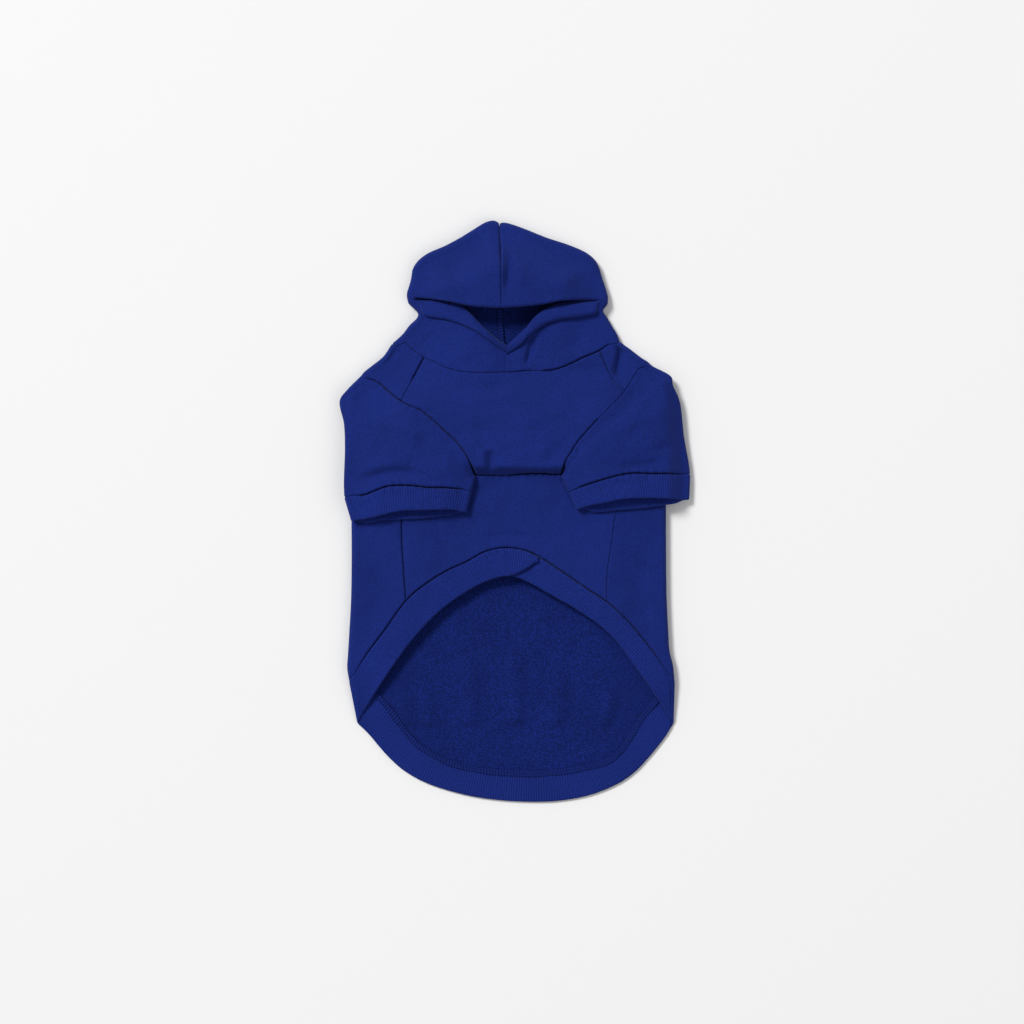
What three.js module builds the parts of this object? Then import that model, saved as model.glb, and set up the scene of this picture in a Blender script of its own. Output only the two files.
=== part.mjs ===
import * as THREE from 'three';

// A short-sleeved fleece hoodie for a pet, lying flat on its back with the belly side up.
// X runs across the garment, Y from the tail hem to the crown of the hood, Z up from the surface it lies on.
// The curves are drawn round the middle of the underarm seam. The finished garment is then centred.

// Plan sizes in millimetres
const BODY_WIDTH = 258; // between the folded sides, across the belly
const NECK_WIDTH = 184; // between the folded sides, where the hood is sewn on
const CHEST_LENGTH = 82; // underarm seam up to the middle of the neckline
const BELLY_LENGTH = 58; // underarm seam down to the top of the hem arch
const SIDE_LENGTH = 166; // underarm seam down to the corners of the hem
const TAIL_DROP = 74; // corners of the hem down to the middle of the back hem seam
const HOOD_WIDTH = 163; // between the folded sides of the hood
const HOOD_LENGTH = 98; // ends of the neckline up to the crown
const SLEEVE_LENGTH = 98; // top of the armhole down to the cuff seam
const CUFF_WIDTH = 102; // a flattened cuff, from fold to fold
const CUFF_BAND = 20; // ribbed cuff, seam to free edge
const HEM_BAND = 22; // ribbed hem, seam to free edge
const MOUTH_SAG = 7; // how far the lower layer of a cuff shows past the upper one

// Heights above the surface in millimetres
const SIDE_FOLD = 9; // folded side edge along the belly
const SHOULDER_FOLD = 7.4; // folded side edge at the shoulders and the neck
const HOOD_FOLD = 9.5; // folded edge round the hood
const BELLY_LOFT = 12; // upper layer over the belly
const CHEST_LOFT = 22; // upper layer over the chest
const NECK_LOFT = 15.5; // upper layer along the neckline
const HOOD_LOFT = 25; // upper layer of the hood behind the face opening
const SLEEVE_FOLD = 7; // folded edge of a sleeve, measured on its own
const SLEEVE_RISE = 4.5; // swell of a sleeve between its folds
const FACE_LIFT = 3.6; // hem of the face opening above the neck front

// Cloth and seams in millimetres
const CLOTH = 2; // brushed fleece jersey
const RIB_CLOTH = 2.6; // doubled rib knit
const SEAM_GAP = 0.3; // between two sewn pieces
const LAY_GAP = 0.8; // between a sleeve and the body it lies on
const LAP_GAP = 0.5; // between two overlapping ends
const SEAM_TURN = 0.7; // how far the inner edge of a seam stays behind its outer edge
const SIDE_SLOPE = 46; // from a folded side to the full loft
const HOOD_SLOPE = 34; // from the hood's folded edge to its full loft
const SEAM_ROLL = 8; // chest cloth that curls down to the underarm seam
const SLEEVE_DROOP = 17; // from the side fold of the body to where a sleeve meets the floor
const LAP_SLOPE = 16; // over which an overlapping end comes down
const HEM_RISE = 14; // over which the hem of the face opening lifts off the folded edge

// Number of cells along each run of cloth
const CELLS = {
  shoulder: 3, armhole: 6, side: 7, chestLeft: 6, lap: 1, chestRight: 5, backHalf: 12,
  neck: 3, faceHem: 2, temple: 5, fold: 4, sleeveFold: 3, sleeve: 7, cuff: 3, band: 3,
};
const OUTLINE_STEPS = 80; // straight steps of each half of the outline
const SEARCH_STEPS = 32; // halvings when a place on a curve is looked for

const FLEECE = new THREE.MeshStandardMaterial({ color: 0x1c2a70, roughness: 0.92, metalness: 0 });
const RIB = new THREE.MeshStandardMaterial({ color: 0x1a2764, roughness: 0.95, metalness: 0 });

const NECK_TOP = 1.29; // ends of the neckline, in chest lengths above the underarm seam
const UP = new THREE.Vector3(0, 0, 1);
const DOWN = new THREE.Vector3(0, 0, -1);

// Each place function turns one row of a table into a plan point.
// across: share of half the named width, along: share of the named length

const at = (x, y) => new THREE.Vector3(x, y, 0);
const onChest = ({ across, along }) => at(across * BODY_WIDTH / 2, along * CHEST_LENGTH);
const onSide = ({ across, along }) => at(across * BODY_WIDTH / 2, -along * SIDE_LENGTH);
const onNeck = ({ across, along }) => at(across * NECK_WIDTH / 2, along * CHEST_LENGTH);
const onArch = ({ across, along }) => at(
  across * BODY_WIDTH / 2,
  -BELLY_LENGTH - along * (SIDE_LENGTH - BELLY_LENGTH),
);
const onTail = ({ across, along }) => at(across * BODY_WIDTH / 2, -SIDE_LENGTH - along * TAIL_DROP);
const onHood = ({ across, along }) => at(
  across * HOOD_WIDTH / 2,
  NECK_TOP * CHEST_LENGTH + along * HOOD_LENGTH,
);

// Folded sides of the body, from the hem corner up to the top of the armhole and the neckline
const SIDES = {
  left: {
    below: [{ across: -1.01, along: 1 }, { across: -1, along: 0.8 }, { across: -1, along: 0.5 },
      { across: -1, along: 0.2 }],
    above: [{ across: -1, along: 0 }, { across: -0.99, along: 0.35 }, { across: -0.975, along: 0.75 },
      { across: -0.935, along: 0.98 }, { across: -0.865, along: 1.07 }, { across: -0.8, along: 1.16 }],
  },
  right: {
    below: [{ across: 1.01, along: 1 }, { across: 0.975, along: 0.8 }, { across: 0.96, along: 0.5 },
      { across: 0.955, along: 0.2 }],
    above: [{ across: 0.958, along: 0 }, { across: 0.95, along: 0.4 }, { across: 0.92, along: 0.87 },
      { across: 0.856, along: 1.09 }, { across: 0.806, along: 1.15 }, { across: 0.738, along: 1.23 }],
  },
};

// Folded edge of the hood, from the neckline over the temple to the crown
const HOOD_EDGES = {
  left: [{ across: -1.07, along: 0.08 }, { across: -1.01, along: 0.15 }, { across: -0.93, along: 0.22 },
    { across: -0.97, along: 0.28 }, { across: -1.04, along: 0.35 }, { across: -1.03, along: 0.43 },
    { across: -0.98, along: 0.6 }, { across: -0.92, along: 0.68 }, { across: -0.83, along: 0.735 },
    { across: -0.66, along: 0.8 }, { across: -0.51, along: 0.865 }, { across: -0.38, along: 0.93 },
    { across: -0.255, along: 0.99 }],
  right: [{ across: 1.03, along: 0.08 }, { across: 0.98, along: 0.15 }, { across: 0.93, along: 0.22 },
    { across: 0.92, along: 0.28 }, { across: 0.95, along: 0.345 }, { across: 0.93, along: 0.41 },
    { across: 0.88, along: 0.54 }, { across: 0.83, along: 0.67 }, { across: 0.76, along: 0.735 },
    { across: 0.58, along: 0.8 }, { across: 0.34, along: 0.865 }, { across: 0.15, along: 0.93 },
    { across: -0.02, along: 0.985 }],
};
const CROWN = { across: -0.13, along: 0.985 };

// Seams, from the left to the right or from the top to the bottom
const NECKLINE = [{ across: -1.04, along: NECK_TOP }, { across: -0.93, along: 1.3 },
  { across: -0.885, along: 1.25 }, { across: -0.78, along: 1.155 }, { across: -0.65, along: 1.09 },
  { across: -0.5, along: 1.02 }, { across: -0.22, along: 0.995 }, { across: 0, along: 1 },
  { across: 0.28, along: 1.01 }, { across: 0.39, along: 1.03 }, { across: 0.51, along: 1.08 },
  { across: 0.61, along: 1.14 }, { across: 0.76, along: 1.21 }, { across: 0.9, along: 1.31 },
  { across: 0.945, along: 1.31 }];
const BACK_NECKLINE = [{ across: -1.04, along: NECK_TOP }, { across: -0.5, along: 1.24 },
  { across: -0.08, along: 1.22 }, { across: 0.45, along: 1.25 }, { across: 0.945, along: 1.31 }];
const ARMHOLES = {
  left: [{ across: -0.935, along: 0.98 }, { across: -0.825, along: 0.9 }, { across: -0.69, along: 0.72 },
    { across: -0.57, along: 0.635 }, { across: -0.495, along: 0.55 }, { across: -0.415, along: 0.43 },
    { across: -0.335, along: 0.31 }, { across: -0.25, along: 0.1 }, { across: -0.223, along: 0 }],
  right: [{ across: 0.856, along: 1.09 }, { across: 0.8, along: 1.05 }, { across: 0.7, along: 0.82 },
    { across: 0.595, along: 0.64 }, { across: 0.525, along: 0.53 }, { across: 0.46, along: 0.42 },
    { across: 0.405, along: 0.32 }, { across: 0.326, along: 0.12 }, { across: 0.304, along: 0 }],
};
const SHOULDER_SEAMS = {
  left: { neck: -0.77, middle: { across: -0.612, along: 0.95 }, foot: -0.69 },
  right: { neck: 0.757, middle: { across: 0.607, along: 1 }, foot: 0.7 },
};
const UNDERARM = [{ across: -0.223, along: 0 }, { across: -0.13, along: -0.005 },
  { across: -0.045, along: -0.01 }, { across: 0.05, along: 0.01 }, { across: 0.18, along: 0.015 },
  { across: 0.304, along: 0 }];
const SIDE_SEAMS = {
  left: { elbow: { across: -0.69, along: 0.16 }, middle: { across: -0.68, along: 0.4 }, foot: -0.657 },
  right: { elbow: { across: 0.64, along: 0.14 }, middle: { across: 0.598, along: 0.38 }, foot: 0.586 },
};
const HEM_ARCH = [{ across: -1.01, along: 1 }, { across: -0.905, along: 0.8 },
  { across: -0.8, along: 0.63 }, { across: -0.657, along: 0.37 }, { across: -0.545, along: 0.28 },
  { across: -0.41, along: 0.17 }, { across: -0.29, along: 0.11 }, { across: -0.165, along: 0.03 },
  { across: -0.06, along: 0 }, { across: 0.056, along: 0.01 }, { across: 0.16, along: 0.06 },
  { across: 0.31, along: 0.18 }, { across: 0.465, along: 0.3 }, { across: 0.586, along: 0.39 },
  { across: 0.73, along: 0.55 }, { across: 0.87, along: 0.75 }, { across: 1.01, along: 1 }];
const BACK_HEM = [{ across: -1.01, along: 0 }, { across: -0.845, along: 0.14 },
  { across: -0.74, along: 0.36 }, { across: -0.59, along: 0.7 }, { across: -0.47, along: 0.82 },
  { across: -0.345, along: 0.91 }, { across: -0.135, along: 0.98 }, { across: 0.09, along: 1 },
  { across: 0.31, along: 0.98 }, { across: 0.465, along: 0.93 }, { across: 0.585, along: 0.88 },
  { across: 0.66, along: 0.78 }, { across: 0.72, along: 0.61 }, { across: 0.81, along: 0.38 },
  { across: 0.9, along: 0.19 }, { across: 1.01, along: 0 }];

// Direction from the hem seam to the free edge, in widths of the ribbed hem, along each seam from the left
const ARCH_LEAN = [{ at: 0, x: 0.29, y: -1.49 }, { at: 0.05, x: 0.6, y: -0.94 }, { at: 0.12, x: 0.8, y: -0.65 },
  { at: 0.2, x: 0.79, y: -0.73 }, { at: 0.3, x: 0.63, y: -0.88 }, { at: 0.4, x: 0.43, y: -0.91 },
  { at: 0.5, x: -0.05, y: -1.03 }, { at: 0.6, x: -0.49, y: -0.86 }, { at: 0.7, x: -0.5, y: -0.72 },
  { at: 0.8, x: -0.56, y: -0.62 }, { at: 0.88, x: -0.6, y: -0.56 }, { at: 0.95, x: -0.48, y: -0.8 },
  { at: 1, x: -0.04, y: -1.49 }];
const TAIL_LEAN = [{ at: 0, x: 0.29, y: -1.49 }, { at: 0.05, x: -0.15, y: -1.39 }, { at: 0.12, x: -0.57, y: -1.1 },
  { at: 0.2, x: -0.7, y: -0.86 }, { at: 0.3, x: -0.42, y: -0.94 }, { at: 0.4, x: -0.2, y: -0.98 },
  { at: 0.5, x: -0.07, y: -1.01 }, { at: 0.6, x: 0.1, y: -1.04 }, { at: 0.7, x: 0.3, y: -0.91 },
  { at: 0.8, x: 0.64, y: -0.75 }, { at: 0.88, x: 0.64, y: -0.95 }, { at: 0.95, x: 0.31, y: -1.28 },
  { at: 1, x: -0.04, y: -1.49 }];
// Shares of the arch between which the two ends of the ribbed hem overlap, and how far the upper end is cut back
const HEM_LAP = { from: 0.47, to: 0.575, slant: 0.07 };

// Face opening of the hood: upper rim, free edge of its hem on the neck front, and the crease of that hem
const CENTRE = [{ across: -0.1, along: 0.28 }, { across: -0.115, along: 0.7 }];
const RIM_MIDDLE = { across: -0.108, along: 0.275 };
const RIMS = {
  left: [{ across: -0.96, along: 0.37 }, { across: -0.82, along: 0.36 }, { across: -0.62, along: 0.33 },
    { across: -0.44, along: 0.295 }, { across: -0.27, along: 0.28 }],
  right: [{ across: 0.87, along: 0.352 }, { across: 0.69, along: 0.35 }, { across: 0.485, along: 0.335 },
    { across: 0.28, along: 0.302 }, { across: 0.07, along: 0.284 }],
};
const FREE_EDGES = {
  left: [{ across: -0.94, along: 0.335 }, { across: -0.76, along: 0.325 }, { across: -0.62, along: 0.305 },
    { across: -0.5, along: 0.28 }, { across: -0.42, along: 0.235 }, { across: -0.33, along: 0.158 },
    { across: -0.2, along: 0.065 }, { across: -0.04, along: -0.037 }, { across: 0.08, along: -0.105 }],
  right: [{ across: 0.855, along: 0.325 }, { across: 0.69, along: 0.318 }, { across: 0.455, along: 0.3 },
    { across: 0.335, along: 0.26 }, { across: 0.225, along: 0.193 }, { across: 0.14, along: 0.112 },
    { across: 0.07, along: 0.055 }, { across: -0.045, along: -0.037 }],
};
const FACE_CREASES = {
  left: [{ across: -0.88, along: 0.233 }, { across: -0.645, along: 0.198 }, { across: -0.48, along: 0.152 },
    { across: -0.343, along: 0.095 }, { across: -0.206, along: 0.015 }, { across: -0.04, along: -0.075 },
    { across: 0.08, along: -0.148 }],
  right: [{ across: 0.88, along: 0.258 }, { across: 0.69, along: 0.225 }, { across: 0.485, along: 0.2 },
    { across: 0.346, along: 0.167 }, { across: 0.236, along: 0.11 }, { across: 0.14, along: 0.045 },
    { across: 0.085, along: -0.01 }, { across: -0.055, along: -0.08 }],
};
const NECK_LAP = { from: -0.061, to: 0.07 }; // the right neck front lies over the left one between these

// Sleeves. out: cuff widths outward from the underarm, down: sleeve lengths below the top of the armhole
const SLEEVES = {
  left: {
    outer: [{ out: 0.99, down: 0.1 }, { out: 1.07, down: 0.21 }, { out: 1.04, down: 0.4 },
      { out: 1.03, down: 0.6 }, { out: 1.038, down: 0.88 }, { out: 1.03, down: 1 }],
    cuffSeam: [{ out: 1.03, down: 1 }, { out: 0.95, down: 0.985 }, { out: 0.79, down: 0.94 },
      { out: 0.7, down: 0.91 }, { out: 0.59, down: 0.898 }, { out: 0.39, down: 0.915 },
      { out: 0.23, down: 0.92 }, { out: 0.033, down: 0.948 }],
    mouth: [{ at: 0, out: -0.28, down: 0.95 }, { at: 0.35, out: -0.2, down: 1 },
      { at: 0.7, out: 0, down: 0.9 }, { at: 1, out: 0.16, down: 0.9 }],
  },
  right: {
    outer: [{ out: 0.79, down: 0.055 }, { out: 0.875, down: 0.125 }, { out: 0.935, down: 0.31 },
      { out: 0.968, down: 0.6 }, { out: 1.005, down: 0.83 }, { out: 1.01, down: 0.912 }],
    cuffSeam: [{ out: 1.01, down: 0.912 }, { out: 0.88, down: 0.902 }, { out: 0.68, down: 0.9 },
      { out: 0.555, down: 0.898 }, { out: 0.44, down: 0.917 }, { out: 0.28, down: 0.964 },
      { out: 0.16, down: 1.006 }, { out: 0.059, down: 1.052 }],
    mouth: [{ at: 0, out: 0, down: 1 }, { at: 0.35, out: 0, down: 0.97 },
      { at: 0.7, out: 0.2, down: 0.9 }, { at: 1, out: 0.34, down: 0.75 }],
  },
};
const CUFF_REACH = 1.2; // free edge of a cuff, where the cuff seam is 1
// Shares of a sleeve over which it swells from its outer fold, from its inner fold and below the armhole
const SWELL = { outer: 0.3, inner: 0.25, armhole: 0.4 };

// Long soft dents in the upper layer, between two plan points. wide: share of SIDE_SLOPE, deep: share of CHEST_LOFT
const DENTS = [
  { place: onChest, from: { across: 0.67, along: 1.28 }, to: { across: 0.652, along: 0.98 }, wide: 0.13, deep: 0.118 },
  { place: onChest, from: { across: -0.06, along: 0.27 }, to: { across: -0.05, along: 0.06 }, wide: 0.11, deep: 0.1 },
  { place: onChest, from: { across: -0.3, along: 0.86 }, to: { across: -0.05, along: 0.85 }, wide: 0.2, deep: 0.055 },
  { place: onHood, from: { across: 0.02, along: 0.7 }, to: { across: -0.03, along: 0.42 }, wide: 0.17, deep: 0.09 },
  { place: onHood, from: { across: 0.2, along: 0.03 }, to: { across: 0.13, along: -0.2 }, wide: 0.13, deep: 0.082 },
];

// Curves and small functions

const clamp = (value) => Math.min(1, Math.max(0, value));
const mix = (from, to, share) => from + (to - from) * share;

// Smooth step from 0 to 1
function ease(value) {
  const share = clamp(value);
  return share * share * (3 - 2 * share);
}

function curve(points) {
  return new THREE.CatmullRomCurve3(points, false, 'centripetal');
}

// Share of a curve's length at which one coordinate reaches a value
function shareWhere(path, axis, value) {
  const rising = path.getPointAt(1)[axis] > path.getPointAt(0)[axis];
  let low = 0;
  let high = 1;
  for (let step = 0; step < SEARCH_STEPS; step += 1) {
    const middle = (low + high) / 2;
    if ((path.getPointAt(middle)[axis] < value) === rising) low = middle;
    else high = middle;
  }
  return (low + high) / 2;
}

// Points of a curve between two shares of its length
function stretch(path, from, to, cells) {
  return Array.from({ length: cells + 1 }, (_, i) => path.getPointAt(mix(from, to, i / cells)));
}

// Value of a named column of a table at a share along it, smooth through its rows
function column(rows, name, share) {
  const last = rows.length - 1;
  const high = Math.max(1, rows.findIndex((row) => row.at >= share));
  const low = high - 1;
  const slope = (i) => {
    const [before, after] = [rows[Math.max(0, i - 1)], rows[Math.min(last, i + 1)]];
    return (after[name] - before[name]) / (after.at - before.at);
  };
  const reach = rows[high].at - rows[low].at;
  const part = (share - rows[low].at) / reach;
  const rest = 1 - part;
  return mix(rows[low][name], rows[high][name], ease(part))
    + reach * part * rest * (slope(low) * rest - slope(high) * part);
}

// Outline of the folded garment

const NECK_ENDS = { left: onNeck(NECKLINE[0]), right: onNeck(NECKLINE.at(-1)) };

function outline(side) {
  return curve([
    ...SIDES[side].below.map(onSide),
    ...SIDES[side].above.map(onChest),
    NECK_ENDS[side],
    ...HOOD_EDGES[side].map(onHood),
    onHood(CROWN),
  ]);
}

const OUTLINES = { left: outline('left'), right: outline('right') };
const archSeam = curve(HEM_ARCH.map(onArch));
const tailSeam = curve(BACK_HEM.map(onTail));

// Free edge of a ribbed band, opposite a point of its seam
function bandEdge(point, share, lean) {
  return at(
    point.x + HEM_BAND * column(lean, 'x', share),
    point.y + HEM_BAND * column(lean, 'y', share),
  );
}

// Corner of the hem, where the ribbed band turns from the front to the back
const HEM_CORNERS = {
  left: { seam: archSeam.getPointAt(0), free: bandEdge(archSeam.getPointAt(0), 0, ARCH_LEAN) },
  right: { seam: archSeam.getPointAt(1), free: bandEdge(archSeam.getPointAt(1), 1, ARCH_LEAN) },
};

const LOOP = [
  HEM_CORNERS.left.free,
  ...stretch(OUTLINES.left, 0, 1, OUTLINE_STEPS),
  ...stretch(OUTLINES.right, 1, 0, OUTLINE_STEPS),
  HEM_CORNERS.right.free,
];

// Distance from the outline, negative outside it. The open hem side doesn't count as outline.
function depth(x, y) {
  let nearest = Infinity;
  let inside = false;
  LOOP.forEach((start, i) => {
    const end = LOOP[(i + 1) % LOOP.length];
    const [dx, dy] = [end.x - start.x, end.y - start.y];
    if ((start.y > y) !== (end.y > y) && x < start.x + dx * (y - start.y) / dy) inside = !inside;
    if (i === LOOP.length - 1) return;
    const share = clamp(((x - start.x) * dx + (y - start.y) * dy) / (dx * dx + dy * dy || 1));
    nearest = Math.min(nearest, Math.hypot(x - start.x - dx * share, y - start.y - dy * share));
  });
  return inside ? nearest : -nearest;
}

// Heights of the layers

const neckTop = NECK_TOP * CHEST_LENGTH;

function foldHeight(y) {
  const shoulders = mix(SIDE_FOLD, SHOULDER_FOLD, ease(y / CHEST_LENGTH + 0.4));
  return mix(shoulders, HOOD_FOLD, ease((y - neckTop) / HOOD_LENGTH * 3));
}

function pillow(x, y, loft, slope) {
  const edge = foldHeight(y);
  return mix(edge, loft, ease((depth(x, y) - edge / 2) / slope));
}

function dent(x, y) {
  return DENTS.reduce((total, { place, from, to, wide, deep }) => {
    const start = place(from);
    const end = place(to);
    const [dx, dy] = [end.x - start.x, end.y - start.y];
    const share = ((x - start.x) * dx + (y - start.y) * dy) / (dx * dx + dy * dy);
    const aside = Math.hypot(x - start.x - dx * clamp(share), y - start.y - dy * clamp(share));
    return total + deep * CHEST_LOFT * Math.exp(-((aside / (wide * SIDE_SLOPE)) ** 2));
  }, 0);
}

const frontLoft = (y) => mix(CHEST_LOFT, NECK_LOFT, ease((y / CHEST_LENGTH - 0.5) / 0.55));
const bellyTop = ({ x, y }) => pillow(x, y, BELLY_LOFT, SIDE_SLOPE);
const frontTop = ({ x, y }) => pillow(x, y, frontLoft(y), SIDE_SLOPE) - dent(x, y);
const crownTop = ({ x, y }) => pillow(x, y, HOOD_LOFT, HOOD_SLOPE) - dent(x, y);
const chestTop = (point) => mix(bellyTop(point), frontTop(point), ease(point.y / SEAM_ROLL + 0.1));
const floor = () => 0;

// Underside of a sleeve: it lies on the body and droops past the body's folded side
function sleeveBase({ x, y }) {
  const beyond = -depth(x, y);
  return LAY_GAP + bellyTop({ x, y }) * (1 - ease(beyond / SLEEVE_DROOP));
}

// Upper layer of a sleeve: level with the chest at the armhole, then swelling between its folds
function sleeveTop(point, u, v) {
  const edge = sleeveBase(point) + SLEEVE_FOLD;
  const swell = SLEEVE_RISE * ease(u / SWELL.outer) * ease((1 - u) / SWELL.inner);
  return mix(Math.max(frontTop(point), edge), edge + swell, ease(v / SWELL.armhole));
}

// Sheets of cloth are grids of points, row by row.

const raised = (point, z) => new THREE.Vector3(point.x, point.y, z);

// Points along a seam, each at its layer's height, with the end points of the folds they meet
function run(points, height, { first, last } = {}) {
  const placed = points.map((point, i) => raised(point, height(point, i / (points.length - 1))));
  if (first) placed[0] = first;
  if (last) placed[placed.length - 1] = last;
  return placed;
}

// Sheet between four runs: two that end the columns, two that end the rows
function sheet(bottom, top, left, right, height) {
  const [rows, columns] = [left.length - 1, bottom.length - 1];
  return left.map((_, i) => bottom.map((__, j) => {
    if (i === 0) return bottom[j];
    if (i === rows) return top[j];
    if (j === 0) return left[i];
    if (j === columns) return right[i];
    const [u, v] = [j / columns, i / rows];
    const between = (axis) => (
      mix(bottom[j][axis], top[j][axis], v) + mix(left[i][axis], right[i][axis], u)
      - mix(mix(bottom[0][axis], bottom[columns][axis], u), mix(top[0][axis], top[columns][axis], u), v)
    );
    const point = at(between('x'), between('y'));
    return raised(point, height(point, u, v));
  }));
}

// Rounded fold that joins a lower and an upper run, bulging outward
function fold(low, high, outward, cells) {
  return low.map((start, i) => Array.from({ length: cells + 1 }, (_, k) => {
    if (k === 0) return start;
    if (k === cells) return high[i];
    const turn = Math.PI * k / cells;
    const bulge = (high[i].z - start.z) / 2 * Math.sin(turn);
    return start.clone().lerp(high[i], (1 - Math.cos(turn)) / 2).addScaledVector(outward[i], bulge);
  }));
}

// Cloth gathers the sheets of one piece and gives them a thickness toward the inside of the garment.
class Cloth {
  constructor() {
    this.points = [];
    this.known = new Map();
    this.cells = [];
  }

  index(point) {
    const key = point.toArray().map((value) => Math.round(value * 1e4)).join();
    if (!this.known.has(key)) {
      this.known.set(key, this.points.length);
      this.points.push(point.clone());
    }
    return this.known.get(key);
  }

  // Adds a grid whose outer face looks along the given direction
  add(grid, outward) {
    const index = grid.map((row) => row.map((point) => this.index(point)));
    const cells = [];
    for (let i = 0; i + 1 < grid.length; i += 1) {
      for (let j = 0; j + 1 < grid[i].length; j += 1) {
        cells.push([index[i][j], index[i][j + 1], index[i + 1][j + 1], index[i + 1][j]]);
      }
    }
    const facing = cells.reduce((sum, cell) => sum + this.normal(cell).dot(outward), 0);
    this.cells.push(...cells.map((cell) => (facing < 0 ? cell.reverse() : cell)));
    return this;
  }

  // Area vector of a cell
  normal([a, b, c, d]) {
    const across = this.points[c].clone().sub(this.points[a]);
    return across.cross(this.points[d].clone().sub(this.points[b]));
  }

  normals() {
    const sums = this.points.map(() => new THREE.Vector3());
    this.cells.forEach((cell) => {
      const normal = this.normal(cell).normalize();
      cell.forEach((i) => sums[i].add(normal));
    });
    return sums.map((sum) => sum.normalize());
  }

  // Directed edges that only one cell has
  rim() {
    const edges = new Map();
    this.cells.forEach((cell) => cell.forEach((from, k) => {
      const to = cell[(k + 1) % 4];
      if (!edges.delete(`${to},${from}`)) edges.set(`${from},${to}`, { from, to, cell });
    }));
    return [...edges.values()];
  }

  // Draws the open edges back by half a seam gap, so that neighbours stay apart, and tells which way
  trim(rim) {
    const inward = this.points.map(() => []);
    rim.forEach(({ from, to, cell }) => {
      const along = this.points[to].clone().sub(this.points[from]);
      const into = this.normal(cell).cross(along).normalize();
      inward[from].push(into);
      inward[to].push(into);
    });
    const mitres = inward.map(([one, two]) => {
      if (!two) return new THREE.Vector3();
      return one.clone().add(two).divideScalar(Math.max(1 + one.dot(two), 0.3));
    });
    this.points = this.points.map((point, i) => {
      const trimmed = point.clone().addScaledVector(mitres[i], SEAM_GAP / 2);
      return raised(trimmed, Math.max(trimmed.z, 0));
    });
    return mitres;
  }

  geometry(thickness) {
    const rim = this.rim();
    const mitres = this.trim(rim);
    const normals = this.normals();
    const inner = this.points.map((point, i) => (
      point.clone().addScaledVector(normals[i], -thickness).addScaledVector(mitres[i], SEAM_TURN)
    ));
    const shift = this.points.length;
    const triangles = [];
    this.cells.forEach(([a, b, c, d]) => {
      triangles.push(a, b, c, a, c, d);
      triangles.push(a + shift, c + shift, b + shift, a + shift, d + shift, c + shift);
    });
    rim.forEach(({ from, to }) => {
      triangles.push(from, from + shift, to + shift, from, to + shift, to);
    });
    const geometry = new THREE.BufferGeometry();
    const positions = [...this.points, ...inner].flatMap((point) => point.toArray());
    geometry.setAttribute('position', new THREE.Float32BufferAttribute(positions, 3));
    geometry.setIndex(triangles);
    geometry.computeVertexNormals();
    return geometry;
  }
}

// Stations of the folded outline, shared by the body and the hood

const OUTWARD = { left: new THREE.Vector3(-1, 0, 0), right: new THREE.Vector3(1, 0, 0) };
const TURN = { left: 1, right: -1 };

// Plan direction square to an outline, toward the inside
function inwardAt(path, share, side) {
  const tangent = path.getTangentAt(share);
  return at(tangent.y * TURN[side], -tangent.x * TURN[side]);
}

// Direction square to the folded corner of the hem
function hemInward(side) {
  const { seam, free } = HEM_CORNERS[side];
  const along = seam.clone().sub(free).normalize();
  return at(along.y * TURN[side], -along.x * TURN[side]);
}

// Points just inside a folded edge: low on the floor, high on the upper layer
function foldStations(side, from, to, cells) {
  const path = OUTLINES[side];
  const shares = Array.from({ length: cells + 1 }, (_, i) => mix(from, to, i / cells));
  const stations = shares.map((share) => {
    const inward = inwardAt(path, share, side);
    if (share === 1) inward.set(0, -1, 0);
    const edge = path.getPointAt(share);
    const height = foldHeight(edge.y);
    const low = edge.addScaledVector(inward, height / 2);
    return { low, high: raised(low, height), outward: inward.clone().negate() };
  });
  return {
    low: stations.map((station) => station.low),
    high: stations.map((station) => station.high),
    outward: stations.map((station) => station.outward),
  };
}

function outlineStations(side) {
  const path = OUTLINES[side];
  const where = (point) => shareWhere(path, 'y', point.y);
  const elbow = where(onSide(SIDE_SEAMS[side].elbow));
  const armTop = where(onChest(ARMHOLES[side][0]));
  const neck = where(NECK_ENDS[side]);
  const crease = where(onHood(FACE_CREASES[side][0]));
  const rim = where(onHood(HOOD_EDGES[side][4]));
  const temple = where(onHood(HOOD_EDGES[side][7]));
  return {
    side: foldStations(side, 0, elbow, CELLS.side),
    sleeve: foldStations(side, elbow, armTop, CELLS.armhole),
    shoulder: foldStations(side, armTop, neck, CELLS.shoulder),
    neck: foldStations(side, neck, crease, CELLS.neck),
    faceHem: foldStations(side, crease, rim, CELLS.faceHem),
    temple: foldStations(side, rim, temple, CELLS.temple),
    crown: foldStations(side, temple, 1, CELLS.backHalf),
  };
}

const STATIONS = { left: outlineStations('left'), right: outlineStations('right') };

// Share of a hem seam at which it leaves the rounded corner
function cornerShare(path, side) {
  const radius = foldHeight(HEM_CORNERS[side].seam.y) / 2;
  const inward = hemInward(side);
  const end = side === 'left' ? 0 : 1;
  let near = end;
  let far = mix(end, 0.5, 0.3);
  for (let step = 0; step < SEARCH_STEPS; step += 1) {
    const middle = (near + far) / 2;
    const inset = path.getPointAt(middle).sub(HEM_CORNERS[side].seam).dot(inward);
    if (inset < radius) near = middle;
    else far = middle;
  }
  return (near + far) / 2;
}

const CORNER_SHARES = {
  left: { arch: cornerShare(archSeam, 'left'), tail: cornerShare(tailSeam, 'left') },
  right: { arch: cornerShare(archSeam, 'right'), tail: cornerShare(tailSeam, 'right') },
};

['left', 'right'].forEach((side) => {
  const { low, high, outward } = STATIONS[side].side;
  low[0] = tailSeam.getPointAt(CORNER_SHARES[side].tail);
  high[0] = raised(archSeam.getPointAt(CORNER_SHARES[side].arch), foldHeight(HEM_CORNERS[side].seam.y));
  outward[0] = hemInward(side).negate();
});

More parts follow.
